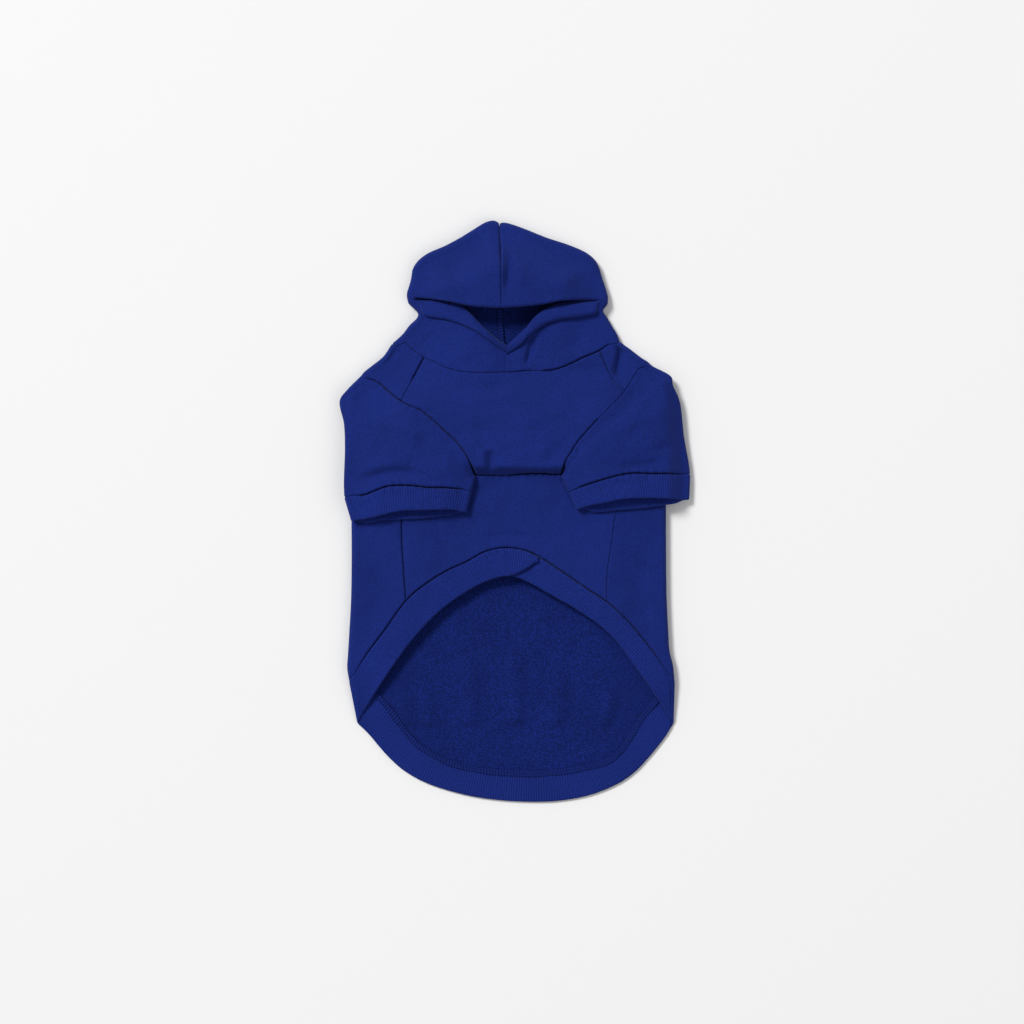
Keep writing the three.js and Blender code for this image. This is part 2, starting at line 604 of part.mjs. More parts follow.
// Joins runs that follow each other, dropping the shared point
const join = (first, ...rest) => rest.reduce((all, next) => [...all, ...next.slice(1)], first);
const reversed = (points) => [...points].reverse();

// Plan points of every seam, sampled once so that both sides of a seam match

function seamPoints(side) {
  const armholeCurve = curve(ARMHOLES[side].map(onChest));
  const footAt = shareWhere(armholeCurve, 'x', SHOULDER_SEAMS[side].foot * BODY_WIDTH / 2);
  const underarm = armholeCurve.getPointAt(1);
  const shoulderFoot = armholeCurve.getPointAt(footAt);
  const archEnd = CORNER_SHARES[side].arch;
  const archFoot = shareWhere(archSeam, 'x', SIDE_SEAMS[side].foot * BODY_WIDTH / 2);
  const elbow = onSide(SIDE_SEAMS[side].elbow);
  return {
    underarm,
    shoulderArmhole: stretch(armholeCurve, 0, footAt, CELLS.shoulder),
    chestArmhole: stretch(armholeCurve, footAt, 1, CELLS.armhole),
    shoulderFoot,
    hiddenSide: stretch(curve([underarm, elbow]), 0, 1, CELLS.armhole),
    lowerSide: stretch(
      curve([elbow, onSide(SIDE_SEAMS[side].middle), archSeam.getPointAt(archFoot)]),
      0,
      1,
      CELLS.side,
    ),
    archFoot,
    arch: stretch(archSeam, archEnd, archFoot, CELLS.shoulder + CELLS.armhole),
  };
}

const SEAMS = { left: seamPoints('left'), right: seamPoints('right') };
const CHEST_CELLS = CELLS.chestLeft + CELLS.lap + CELLS.chestRight;
const archMiddle = stretch(archSeam, SEAMS.left.archFoot, SEAMS.right.archFoot, CHEST_CELLS);
const underarmSeam = stretch(curve(UNDERARM.map(onChest)), 0, 1, CHEST_CELLS);
const tail = stretch(tailSeam, CORNER_SHARES.left.tail, CORNER_SHARES.right.tail, 2 * CELLS.backHalf);
const backNeck = stretch(curve(BACK_NECKLINE.map(onNeck)), 0, 1, 2 * CELLS.backHalf);

const neckCurve = curve(NECKLINE.map(onNeck));
const neckShare = (across) => shareWhere(neckCurve, 'x', across * NECK_WIDTH / 2);
const neckMarks = {
  left: neckShare(SHOULDER_SEAMS.left.neck),
  lapFrom: neckShare(NECK_LAP.from),
  lapTo: neckShare(NECK_LAP.to),
  right: neckShare(SHOULDER_SEAMS.right.neck),
};
const neckPieces = {
  left: stretch(neckCurve, 0, neckMarks.left, CELLS.shoulder),
  chestLeft: stretch(neckCurve, neckMarks.left, neckMarks.lapFrom, CELLS.chestLeft),
  lap: stretch(neckCurve, neckMarks.lapFrom, neckMarks.lapTo, CELLS.lap),
  chestRight: stretch(neckCurve, neckMarks.lapTo, neckMarks.right, CELLS.chestRight),
  right: stretch(neckCurve, 1, neckMarks.right, CELLS.shoulder),
};
const chestNeck = join(neckPieces.chestLeft, neckPieces.lap, neckPieces.chestRight);

function shoulderSeam(side) {
  const top = side === 'left' ? chestNeck[0] : chestNeck.at(-1);
  const path = curve([top, onChest(SHOULDER_SEAMS[side].middle), SEAMS[side].shoulderFoot]);
  return stretch(path, 0, 1, CELLS.shoulder);
}

SEAMS.left.shoulder = shoulderSeam('left');
SEAMS.right.shoulder = shoulderSeam('right');

// Body

function backPanel() {
  const cloth = new Cloth();
  const runs = ['left', 'right'].map((side) => {
    const { side: flank, sleeve, shoulder } = STATIONS[side];
    return join(flank.low, sleeve.low, shoulder.low);
  });
  const [left, right] = runs;
  const hem = run(tail, floor, { first: left[0], last: right[0] });
  const neck = run(backNeck, floor, { first: left.at(-1), last: right.at(-1) });
  cloth.add(sheet(hem, neck, left, right, floor), DOWN);
  ['left', 'right'].forEach((side) => {
    const stations = STATIONS[side];
    const seams = SEAMS[side];
    ['side', 'sleeve', 'shoulder'].forEach((name) => {
      const { low, high, outward } = stations[name];
      cloth.add(fold(low, high, outward, CELLS.fold), OUTWARD[side]);
    });
    const armhole = join(seams.shoulderArmhole, seams.chestArmhole);
    const level = curve([stations.side.high.at(-1), seams.hiddenSide.at(-1)]);
    const elbowRow = run(
      stretch(level, 0, 1, armhole.length - 1),
      bellyTop,
      { first: stations.side.high.at(-1) },
    );
    cloth.add(sheet(
      run(seams.arch, bellyTop, { first: stations.side.high[0] }),
      elbowRow,
      stations.side.high,
      run(reversed(seams.lowerSide), bellyTop),
      bellyTop,
    ), UP);
    cloth.add(sheet(
      elbowRow,
      run(armhole, bellyTop, { first: stations.sleeve.high.at(-1) }),
      stations.sleeve.high,
      run(reversed(seams.hiddenSide), bellyTop),
      bellyTop,
    ), UP);
    cloth.add(sheet(
      run(seams.shoulderArmhole, frontTop, { first: stations.shoulder.high[0] }),
      run(neckPieces[side], frontTop, { first: stations.shoulder.high.at(-1) }),
      stations.shoulder.high,
      run(reversed(seams.shoulder), frontTop),
      frontTop,
    ), UP);
  });
  return cloth.geometry(CLOTH);
}

function chestPanel() {
  const edge = (side) => reversed(join(SEAMS[side].shoulder, SEAMS[side].chestArmhole));
  return new Cloth().add(sheet(
    run(underarmSeam, chestTop),
    run(chestNeck, chestTop),
    run(edge('left'), chestTop),
    run(edge('right'), chestTop),
    chestTop,
  ), UP).geometry(CLOTH);
}

function bellyPanel() {
  const edge = (side) => reversed(join(SEAMS[side].hiddenSide, SEAMS[side].lowerSide));
  return new Cloth().add(sheet(
    run(archMiddle, bellyTop),
    run(underarmSeam, bellyTop),
    run(edge('left'), bellyTop),
    run(edge('right'), bellyTop),
    bellyTop,
  ), UP).geometry(CLOTH);
}

// Ribbed hem: one strip that starts at the arch, runs round the tail and ends under its own start

// Rows across the band, from points of its seam to the places of its free edge with the given shares
function bandRows(seam, edge, height) {
  return seam.map((point, i) => Array.from({ length: CELLS.band + 1 }, (_, k) => {
    const place = point.clone().lerp(edge[i], k / CELLS.band);
    return raised(place, height(place));
  }));
}

// Place where the free edge leaves the rounded corner, on its way to the next place
function cornerEdge(side, next) {
  const { seam, free } = HEM_CORNERS[side];
  const along = next.clone().sub(free);
  const radius = foldHeight(seam.y) / 2;
  return free.clone().addScaledVector(along, radius / along.dot(hemInward(side)));
}

function archRows(from, to, slant, height) {
  const points = join(SEAMS.left.arch, archMiddle, reversed(SEAMS.right.arch));
  const shares = points.map((point) => shareWhere(archSeam, 'x', point.x));
  const kept = points.map((_, i) => i).filter((i) => shares[i] >= from && shares[i] <= to);
  const edge = kept.map((i) => {
    const share = shares[i] - slant * ease(1 - (to - shares[i]) / slant);
    return bandEdge(archSeam.getPointAt(share), share, ARCH_LEAN);
  });
  if (kept[0] === 0) edge[0] = cornerEdge('left', edge[1]);
  else edge[edge.length - 1] = cornerEdge('right', edge.at(-2));
  return bandRows(kept.map((i) => points[i]), edge, height);
}

function hemBand() {
  const lift = RIB_CLOTH + LAP_GAP;
  const lapStart = archSeam.getPointAt(HEM_LAP.from).x;
  const over = ({ x, y }) => bellyTop({ x, y }) + lift * ease((x - lapStart) / LAP_SLOPE + 1);
  const leftArch = archRows(0, HEM_LAP.to, HEM_LAP.slant, over);
  const rightArch = archRows(HEM_LAP.from, 1, 0, bellyTop);
  const tailEdge = tail.map((point, i) => bandEdge(point, i / (tail.length - 1), TAIL_LEAN));
  tailEdge[0] = cornerEdge('left', tailEdge[1]);
  tailEdge[tailEdge.length - 1] = cornerEdge('right', tailEdge.at(-2));
  const bottom = bandRows(tail, tailEdge, floor);
  const corner = (side, high) => high.map((point) => raised(point, foldHeight(HEM_CORNERS[side].seam.y)));
  leftArch[0] = corner('left', leftArch[0]);
  rightArch[rightArch.length - 1] = corner('right', rightArch.at(-1));
  const turn = (side, low, high) => (
    fold(low, high, low.map(() => STATIONS[side].side.outward[0]), CELLS.fold)
  );
  return new Cloth()
    .add(leftArch, UP)
    .add(turn('left', bottom[0], leftArch[0]), OUTWARD.left)
    .add(bottom, DOWN)
    .add(turn('right', bottom.at(-1), rightArch.at(-1)), OUTWARD.right)
    .add(rightArch, UP)
    .geometry(RIB_CLOTH);
}

// Sleeves and cuffs

const sleevePlace = (side) => ({ out, down }) => at(
  SEAMS[side].underarm.x - TURN[side] * out * CUFF_WIDTH,
  onChest(ARMHOLES[side][0]).y - down * SLEEVE_LENGTH,
);

// Lower and upper points just inside a sleeve's folded edge, given by its plan line from the top down
function sleeveFold(points, outward) {
  const low = points.map((point, i) => {
    const inside = point.clone().addScaledVector(outward[i], -SLEEVE_FOLD / 2);
    return raised(inside, sleeveBase(inside));
  });
  return { low, high: low.map((point) => raised(point, point.z + SLEEVE_FOLD)), outward };
}

// Plan direction square to a polyline of a sleeve's outer or inner edge, away from the sleeve
function awayFrom(points, sign) {
  return points.map((_, i) => {
    const before = points[Math.max(0, i - 1)];
    const after = points[Math.min(points.length - 1, i + 1)];
    const along = after.clone().sub(before).normalize();
    return at(along.y * sign, -along.x * sign);
  });
}

function sleevePlan(side) {
  const place = sleevePlace(side);
  const { outer, cuffSeam, mouth } = SLEEVES[side];
  const { shoulderArmhole, chestArmhole, underarm } = SEAMS[side];
  const armhole = join(shoulderArmhole, chestArmhole);
  const outerCurve = curve([armhole[0], ...outer.map(place)]);
  const seamCurve = curve(cuffSeam.map(place));
  const seam = stretch(seamCurve, 0, 1, armhole.length - 1);
  const shares = seam.map((_, i) => i / (seam.length - 1));
  const mouthAt = (sag) => seam.map((point, i) => at(
    point.x - TURN[side] * CUFF_BAND * column(mouth, 'out', shares[i]),
    point.y - CUFF_BAND * column(mouth, 'down', shares[i]) - sag * Math.sin(Math.PI * shares[i]),
  ));
  return {
    armhole,
    outer: stretch(outerCurve, 0, 1, CELLS.sleeve),
    inner: stretch(curve([underarm, seam.at(-1)]), 0, 1, CELLS.sleeve),
    seam,
    upperMouth: mouthAt(0),
    lowerMouth: mouthAt(MOUTH_SAG),
  };
}

function tube(upper, lower, outerFold, innerFold, side, thickness) {
  return new Cloth()
    .add(upper, UP)
    .add(lower, DOWN)
    .add(fold(outerFold.low, outerFold.high, outerFold.outward, CELLS.sleeveFold), OUTWARD[side])
    .add(
      fold(innerFold.low, innerFold.high, innerFold.outward, CELLS.sleeveFold),
      OUTWARD[side].clone().negate(),
    )
    .geometry(thickness);
}

// Both layers from a plan line to the ends of each layer. The lines run from the outer to the inner fold.
function layers(start, upperEnd, lowerEnd, outerFold, innerFold, from, to) {
  const ends = (name, end) => ({ first: outerFold[name].at(end), last: innerFold[name].at(end) });
  const topAt = (share) => (point, u) => sleeveTop(point, u, share);
  return {
    upper: sheet(
      run(start, topAt(from), ends('high', 0)),
      run(upperEnd, topAt(to), ends('high', -1)),
      outerFold.high,
      innerFold.high,
      (point, u, v) => sleeveTop(point, u, mix(from, to, v)),
    ),
    lower: sheet(
      run(start, sleeveBase, ends('low', 0)),
      run(lowerEnd, sleeveBase, ends('low', -1)),
      outerFold.low,
      innerFold.low,
      sleeveBase,
    ),
  };
}

function sleeveAndCuff(side) {
  const plan = sleevePlan(side);
  const cuffOuter = stretch(curve([plan.outer.at(-1), plan.upperMouth[0]]), 0, 1, CELLS.cuff);
  const cuffInner = stretch(curve([plan.inner.at(-1), plan.upperMouth.at(-1)]), 0, 1, CELLS.cuff);
  const outerLine = join(plan.outer, cuffOuter);
  const innerLine = join(plan.inner, cuffInner);
  const outerFold = sleeveFold(outerLine, awayFrom(outerLine, TURN[side]));
  const innerFold = sleeveFold(innerLine, awayFrom(innerLine, -TURN[side]));
  const part = ({ low, high, outward }, from, to) => ({
    low: low.slice(from, to + 1),
    high: high.slice(from, to + 1),
    outward: outward.slice(from, to + 1),
  });
  const sleeveFolds = [outerFold, innerFold].map((all) => part(all, 0, CELLS.sleeve));
  const cuffFolds = [outerFold, innerFold].map((all) => part(all, CELLS.sleeve, CELLS.sleeve + CELLS.cuff));
  const sleeve = layers(plan.armhole, plan.seam, plan.seam, ...sleeveFolds, 0, 1);
  const cuff = layers(plan.seam, plan.upperMouth, plan.lowerMouth, ...cuffFolds, 1, CUFF_REACH);
  return {
    sleeve: tube(sleeve.upper, sleeve.lower, ...sleeveFolds, side, CLOTH),
    cuff: tube(cuff.upper, cuff.lower, ...cuffFolds, side, RIB_CLOTH),
  };
}

// Hood

// Neck front layer of each half. The right one rises over the left one where they lap.
function neckTopOf(side) {
  const lapFrom = NECK_LAP.from * NECK_WIDTH / 2;
  const lapTo = NECK_LAP.to * NECK_WIDTH / 2;
  const rise = (CLOTH + LAP_GAP) / 2;
  const over = (x) => rise * (1 - ease((x - lapTo) / LAP_SLOPE));
  const under = (x) => -rise * ease((x - lapFrom) / LAP_SLOPE + 1);
  return (point) => frontTop(point) + (side === 'right' ? over(point.x) : under(point.x));
}

function hoodHalf(side) {
  const stations = STATIONS[side];
  const neckHeight = neckTopOf(side);
  const lapStart = NECK_LAP.from * NECK_WIDTH / 2;
  const tucked = (x) => (side === 'left' ? ease((lapStart - x) / LAP_SLOPE) : 1);
  const lifted = (point) => FACE_LIFT * ease((depth(point.x, point.y) - SIDE_FOLD / 2) / HEM_RISE) * tucked(point.x);
  const hemHeight = (point) => neckHeight(point) + lifted(point);
  const [middle, top] = CENTRE.map(onHood);
  const crownEnd = stations.crown.low.at(-1);
  const halfNeck = side === 'left'
    ? backNeck.slice(0, CELLS.backHalf + 1)
    : reversed(backNeck.slice(CELLS.backHalf));
  const backCentre = curve([halfNeck.at(-1), middle, top, crownEnd]);
  const rimMiddle = onHood(RIM_MIDDLE);
  const topCentre = curve([rimMiddle, top, crownEnd]);
  const rimCurve = curve([stations.temple.low[0], ...RIMS[side].map(onHood), rimMiddle]);
  const frontNeck = side === 'left'
    ? join(neckPieces.left, neckPieces.chestLeft, neckPieces.lap)
    : join(neckPieces.right, reversed(neckPieces.chestRight), reversed(neckPieces.lap));
  const frontCells = frontNeck.length - 1;
  const creaseCurve = curve([stations.faceHem.low[0], ...FACE_CREASES[side].map(onHood)]);
  const freeCurve = curve([stations.temple.low[0], ...FREE_EDGES[side].map(onHood)]);
  const creasePoints = stretch(creaseCurve, 0, 1, frontCells);
  const freePoints = stretch(freeCurve, 0, 1, frontCells);
  const outward = OUTWARD[side].clone().add(new THREE.Vector3(0, 0.6, 0));
  const lowLeft = join(stations.neck.low, stations.faceHem.low, stations.temple.low);
  const cloth = new Cloth();
  cloth.add(sheet(
    run(halfNeck, floor, { first: stations.neck.low[0] }),
    stations.crown.low,
    lowLeft,
    run(stretch(backCentre, 0, 1, lowLeft.length - 1), floor, { last: crownEnd }),
    floor,
  ), DOWN);
  ['neck', 'faceHem', 'temple', 'crown'].forEach((name) => {
    const { low, high, outward: away } = stations[name];
    cloth.add(fold(low, high, away, CELLS.fold), outward);
  });
  cloth.add(sheet(
    run(stretch(rimCurve, 0, 1, CELLS.backHalf), crownTop, { first: stations.temple.high[0] }),
    stations.crown.high,
    stations.temple.high,
    run(stretch(topCentre, 0, 1, CELLS.temple), crownTop, { last: stations.crown.high.at(-1) }),
    crownTop,
  ), UP);
  const creaseRun = run(creasePoints, neckHeight, { first: stations.faceHem.high[0] });
  const freeRun = run(freePoints, hemHeight, { first: stations.temple.high[0] });
  const frontEnd = curve([frontNeck.at(-1), creasePoints.at(-1)]);
  const hemEnd = curve([creasePoints.at(-1), freePoints.at(-1)]);
  const neckRun = run(frontNeck, neckHeight, { first: stations.neck.high[0] });
  cloth.add(sheet(
    neckRun,
    creaseRun,
    stations.neck.high,
    run(stretch(frontEnd, 0, 1, CELLS.neck), neckHeight),
    neckHeight,
  ), UP);
  cloth.add(sheet(
    creaseRun,
    freeRun,
    stations.faceHem.high,
    run(stretch(hemEnd, 0, 1, CELLS.faceHem), hemHeight, { first: creaseRun.at(-1) }),
    hemHeight,
  ), UP);
  return cloth.geometry(CLOTH);
}

// The garment

function piece(name, geometry, material) {
  const mesh = new THREE.Mesh(geometry, material);
  mesh.name = name;
  return mesh;
}

const sleeves = { left: sleeveAndCuff('left'), right: sleeveAndCuff('right') };
const garment = new THREE.Group();
garment.add(
  piece('back_panel', backPanel(), FLEECE),
  piece('chest_panel', chestPanel(), FLEECE),
  piece('belly_panel', bellyPanel(), FLEECE),
  piece('hem_band', hemBand(), RIB),
  piece('sleeve_left', sleeves.left.sleeve, FLEECE),
  piece('sleeve_right', sleeves.right.sleeve, FLEECE),
  piece('cuff_left', sleeves.left.cuff, RIB),
  piece('cuff_right', sleeves.right.cuff, RIB),
  piece('hood_left', hoodHalf('left'), FLEECE),
  piece('hood_right', hoodHalf('right'), FLEECE),
);

const box = new THREE.Box3().setFromObject(garment);
const middle = box.getCenter(new THREE.Vector3());
garment.position.set(-middle.x, -middle.y, -box.min.z);

export default garment;
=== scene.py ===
"""A short-sleeved fleece hoodie for a pet, lying flat with its belly side up.

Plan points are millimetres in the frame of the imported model: X across, Y towards the hood, Z up from
the surface it lies on. Seams and folds that were read off the picture are written as places in its
1024-pixel frame, and `seen` turns them into plan points. Meshes are written in metres.
"""

from __future__ import annotations

import logging
import math
from collections.abc import Callable
from dataclasses import dataclass, field
from enum import Enum

import bpy
import numpy as np
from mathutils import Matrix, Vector

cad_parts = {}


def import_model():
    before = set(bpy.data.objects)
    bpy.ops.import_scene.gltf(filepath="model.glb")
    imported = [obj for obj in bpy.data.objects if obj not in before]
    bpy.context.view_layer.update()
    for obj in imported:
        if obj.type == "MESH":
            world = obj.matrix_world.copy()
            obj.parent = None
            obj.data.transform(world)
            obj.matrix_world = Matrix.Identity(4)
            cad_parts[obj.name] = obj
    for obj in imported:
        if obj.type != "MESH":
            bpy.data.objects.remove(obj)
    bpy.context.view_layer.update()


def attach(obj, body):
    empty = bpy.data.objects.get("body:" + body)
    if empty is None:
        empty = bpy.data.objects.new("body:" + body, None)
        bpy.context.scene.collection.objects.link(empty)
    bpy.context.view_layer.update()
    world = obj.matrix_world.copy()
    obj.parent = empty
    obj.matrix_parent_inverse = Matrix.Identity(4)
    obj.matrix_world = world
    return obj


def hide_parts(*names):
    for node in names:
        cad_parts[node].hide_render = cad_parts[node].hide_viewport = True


LOG = logging.getLogger("hoodie")
Array = np.ndarray
Places = tuple[tuple[float, float], ...]
Height = Callable[..., Array]

METRE = 0.001
CENTIMETRE = 0.1
PIXEL = 0.8
ORIGIN = np.array([514.55, 512.16])
UNDERARM_Y, NECK_Y = 29.75, 135.5
CHEST_LENGTH, HOOD_LENGTH = 82.0, 98.0
SETTLE, HEM_REACH = 14.0, 42.0
BUMP_DEPTH = 0.0005
UP = np.array([0.0, 0.0, 1.0])
DOWN = -UP
GOLDEN_ANGLE = 2.39996
BLOCK = 6000
TINY, TINY_SQUARE = 1e-9, 1e-12


class Side(Enum):
    """Left and right as seen in the picture."""

    LEFT = -1
    RIGHT = 1


class Face(Enum):
    """Material slots of a piece of cloth."""

    OUTSIDE = 0
    INSIDE = 1


def seen(places: Places) -> Array:
    """Turns places in the picture's frame into plan points.

    Args:
        places: pairs of pixels, x to the right and y down.

    Returns:
        Plan points in millimetres, one row each.
    """
    return (np.array(places, float).reshape(-1, 2) - ORIGIN) * (PIXEL, -PIXEL)


def mix(start: Array, end: Array, share: Array) -> Array:
    """Value at a share of the way from start to end."""
    return start + (end - start) * share


def ease(value: Array) -> Array:
    """Smooth step from 0 to 1: three squares less two cubes of the clipped value."""
    share = np.clip(value, 0, 1)
    return share * share * (3 - 2 * share)


def unit(vectors: Array) -> Array:
    """Vectors of length 1 along the last axis."""
    return vectors / np.maximum(np.linalg.norm(vectors, axis=-1, keepdims=True), TINY)


def grounded(plan: Array) -> Array:
    """Plan points or directions with a height of 0."""
    return np.column_stack([plan, np.zeros(len(plan))])


class Line:
    """A smooth line through points, measured by its length.

    Between two points it is a cubic whose end slopes follow the neighbours, weighted by the square
    root of the distances (centripetal Catmull-Rom), and it is extended straight past its two ends.
    """

    def __init__(self, points: Array, fine: int = 24) -> None:
        """Works out the line.

        Args:
            points: two or more plan or space points.
            fine: steps between two of them, or 0 where the points are already close together.
        """
        line = np.asarray(points, float)
        if fine:
            line = self._smooth(line, fine)
        steps = np.linalg.norm(np.diff(line, axis=0), axis=1)
        self.points = line
        self.length = float(steps.sum())
        self.shares = np.concatenate([[0], np.cumsum(steps)]) / self.length

    @staticmethod
    def _smooth(points: Array, fine: int) -> Array:
        """Dense points of the cubic pieces between the given ones."""
        ends = np.vstack([2 * points[0] - points[1], points, 2 * points[-1] - points[-2]])
        gaps = np.sqrt(np.linalg.norm(np.diff(ends, axis=0), axis=1))[:, None]
        before, here, after = gaps[:-2], gaps[1:-1], gaps[2:]
        p0, p1, p2, p3 = ends[:-3], ends[1:-2], ends[2:-1], ends[3:]
        leave = ((p1 - p0) / before - (p2 - p0) / (before + here) + (p2 - p1) / here) * here
        arrive = ((p2 - p1) / here - (p3 - p1) / (here + after) + (p3 - p2) / after) * here
        square = 3 * (p2 - p1) - 2 * leave - arrive
        cube = 2 * (p1 - p2) + leave + arrive
        step = (np.arange(fine) / fine)[None, :, None]
        dense = p1[:, None] + step * (leave[:, None] + step * (square[:, None] + step * cube[:, None]))
        return np.vstack([dense.reshape(-1, points.shape[1]), points[-1]])

    @classmethod
    def chain(cls, *lines: Array) -> Line:
        """One measured line of several dense ones that follow each other."""
        rest = [line[1:] for line in lines[1:]]
        return cls(np.vstack([lines[0], *rest]), fine=0)

    def at(self, shares: Array) -> Array:
        """Points at shares of the length."""
        return np.stack([np.interp(shares, self.shares, column) for column in self.points.T], -1)

    def part(self, first: float, last: float, count: int = 160) -> Array:
        """Close points between two shares of the length."""
        return self.at(np.linspace(first, last, count))

    def where(self, axis: int, value: float) -> float:
        """Share of the length at which a coordinate first reaches a value."""
        past = self.points[:, axis] - value
        turn = int(np.flatnonzero(past[:-1] * past[1:] <= 0)[0])
        share = past[turn] / (past[turn] - past[turn + 1])
        return float(mix(self.shares[turn], self.shares[turn + 1], share))

    def heading(self, shares: Array) -> Array:
        """Unit direction of travel at shares of the length."""
        reach = 2.0 / self.length
        along = self.at(np.clip(shares + reach, 0, 1)) - self.at(np.clip(shares - reach, 0, 1))
        return unit(along)


def nearest(plan: Array, line: Array) -> tuple[Array, Array]:
    """Distance from points to a polyline, and the share along it of the nearest place.

    Args:
        plan: points in an array of any shape whose last axis holds x and y.
        line: corner points of the polyline.

    Returns:
        Distances and shares, each in the shape of the points.
    """
    flat = plan.reshape(-1, 2)
    start, step = line[:-1], np.diff(line, axis=0)
    square = np.maximum((step**2).sum(1), TINY_SQUARE)
    far, share = np.empty(len(flat)), np.empty(len(flat))
    for first in range(0, len(flat), BLOCK):
        block = slice(first, first + BLOCK)
        aside = flat[block, None] - start
        part = np.clip((aside * step).sum(-1) / square, 0, 1)
        gap = ((aside - part[..., None] * step) ** 2).sum(-1)
        best = gap.argmin(1)
        rows = np.arange(len(best))
        far[block] = np.sqrt(gap[rows, best])
        share[block] = (best + part[rows, best]) / len(start)
    return far.reshape(plan.shape[:-1]), share.reshape(plan.shape[:-1])


def inside(plan: Array, loop: Array) -> Array:
    """Whether points lie within a closed polyline: an odd number of its edges is crossed to their right."""
    flat = plan.reshape(-1, 2)
    start, end = loop, np.roll(loop, -1, axis=0)
    rise = np.where(np.abs(end[:, 1] - start[:, 1]) < TINY, TINY, end[:, 1] - start[:, 1])
    found = np.empty(len(flat), bool)
    for first in range(0, len(flat), BLOCK):
        block = slice(first, first + BLOCK)
        x, y = flat[block, :1], flat[block, 1:]
        spans = (start[:, 1] > y) != (end[:, 1] > y)
        reach = start[:, 0] + (end[:, 0] - start[:, 0]) * (y - start[:, 1]) / rise
        found[block] = (spans & (x < reach)).sum(1) % 2 == 1
    return found.reshape(plan.shape[:-1])


@dataclass(frozen=True)
class Crease:
    """A soft dent of the cloth along a line, or a ridge where its depth is negative."""

    places: Places
    wide: float
    deep: float
    fade: float = 0.3

    def height(self, plan: Array) -> Array:
        """Change of height: a bell across the line, fading towards both ends."""
        far, share = nearest(plan, Line(seen(self.places), 8).points)
        ends = ease(share / self.fade) * ease((1 - share) / self.fade)
        return -self.deep * np.exp(-((far / self.wide) ** 2)) * ends


def swell(plan: Array, size: float, seed: float, high: float) -> Array:
    """Uneven lie of loose cloth: the sum of nine plane waves, each turned by the golden angle.

    Args:
        plan: plan points.
        size: middle wavelength in millimetres.
        seed: shifts the waves, so that two pieces differ.
        high: usual height of the swell in millimetres.

    Returns:
        Change of height at each point.
    """
    order = np.arange(9.0)
    turn = GOLDEN_ANGLE * order + seed
    number = 2 * np.pi / (size * (0.55 + 0.12 * order))
    waves = np.stack([np.cos(turn), np.sin(turn)]) * number
    return high * np.sin(plan @ waves + 1.7 * order**2 + seed).sum(-1) / 3


@dataclass(frozen=True)
class Pucker:
    """A sewn seam: the groove of its stitches, and the small gathers drawn into the cloth beside it."""

    places: Places
    wave: float = 7.0
    high: float = 0.2
    wide: float = 3.2
    deep: float = 0.9
    groove: float = 0.85

    def height(self, plan: Array) -> Array:
        """Change of height: a swelling that varies as an uneven sine along the seam, less a narrow groove."""
        line = Line(seen(self.places))
        far, share = nearest(plan, line.part(0, 1, 90))
        along = share * line.length
        beat = np.sin(math.tau * along / self.wave + 1.6 * np.sin(along / 11))
        uneven = 1 + 0.5 * np.sin(along / 23)
        gathers = self.high * (1.6 + beat * uneven) * np.exp(-((far / self.wide) ** 2))
        return gathers - self.deep * np.exp(-((far / self.groove) ** 2))


def heights(parts: tuple[Crease | Pucker, ...], plan: Array) -> Array:
    """Sum of the changes of height of creases or seams."""
    return sum(part.height(plan) for part in parts)


@dataclass(frozen=True)
class SideLines:
    """Lines of one half of the garment, as places in the picture."""

    body: Places
    hood: Places
    armhole: Places
    shoulder: Places
    shoulder_foot: float
    side_seam: Places
    rim: Places
    free_edge: Places
    crease: Places
    sleeve: Places
    cuff_seam: Places
    upper_mouth: Places
    lower_mouth: Places
    elbow: float
    temple: float


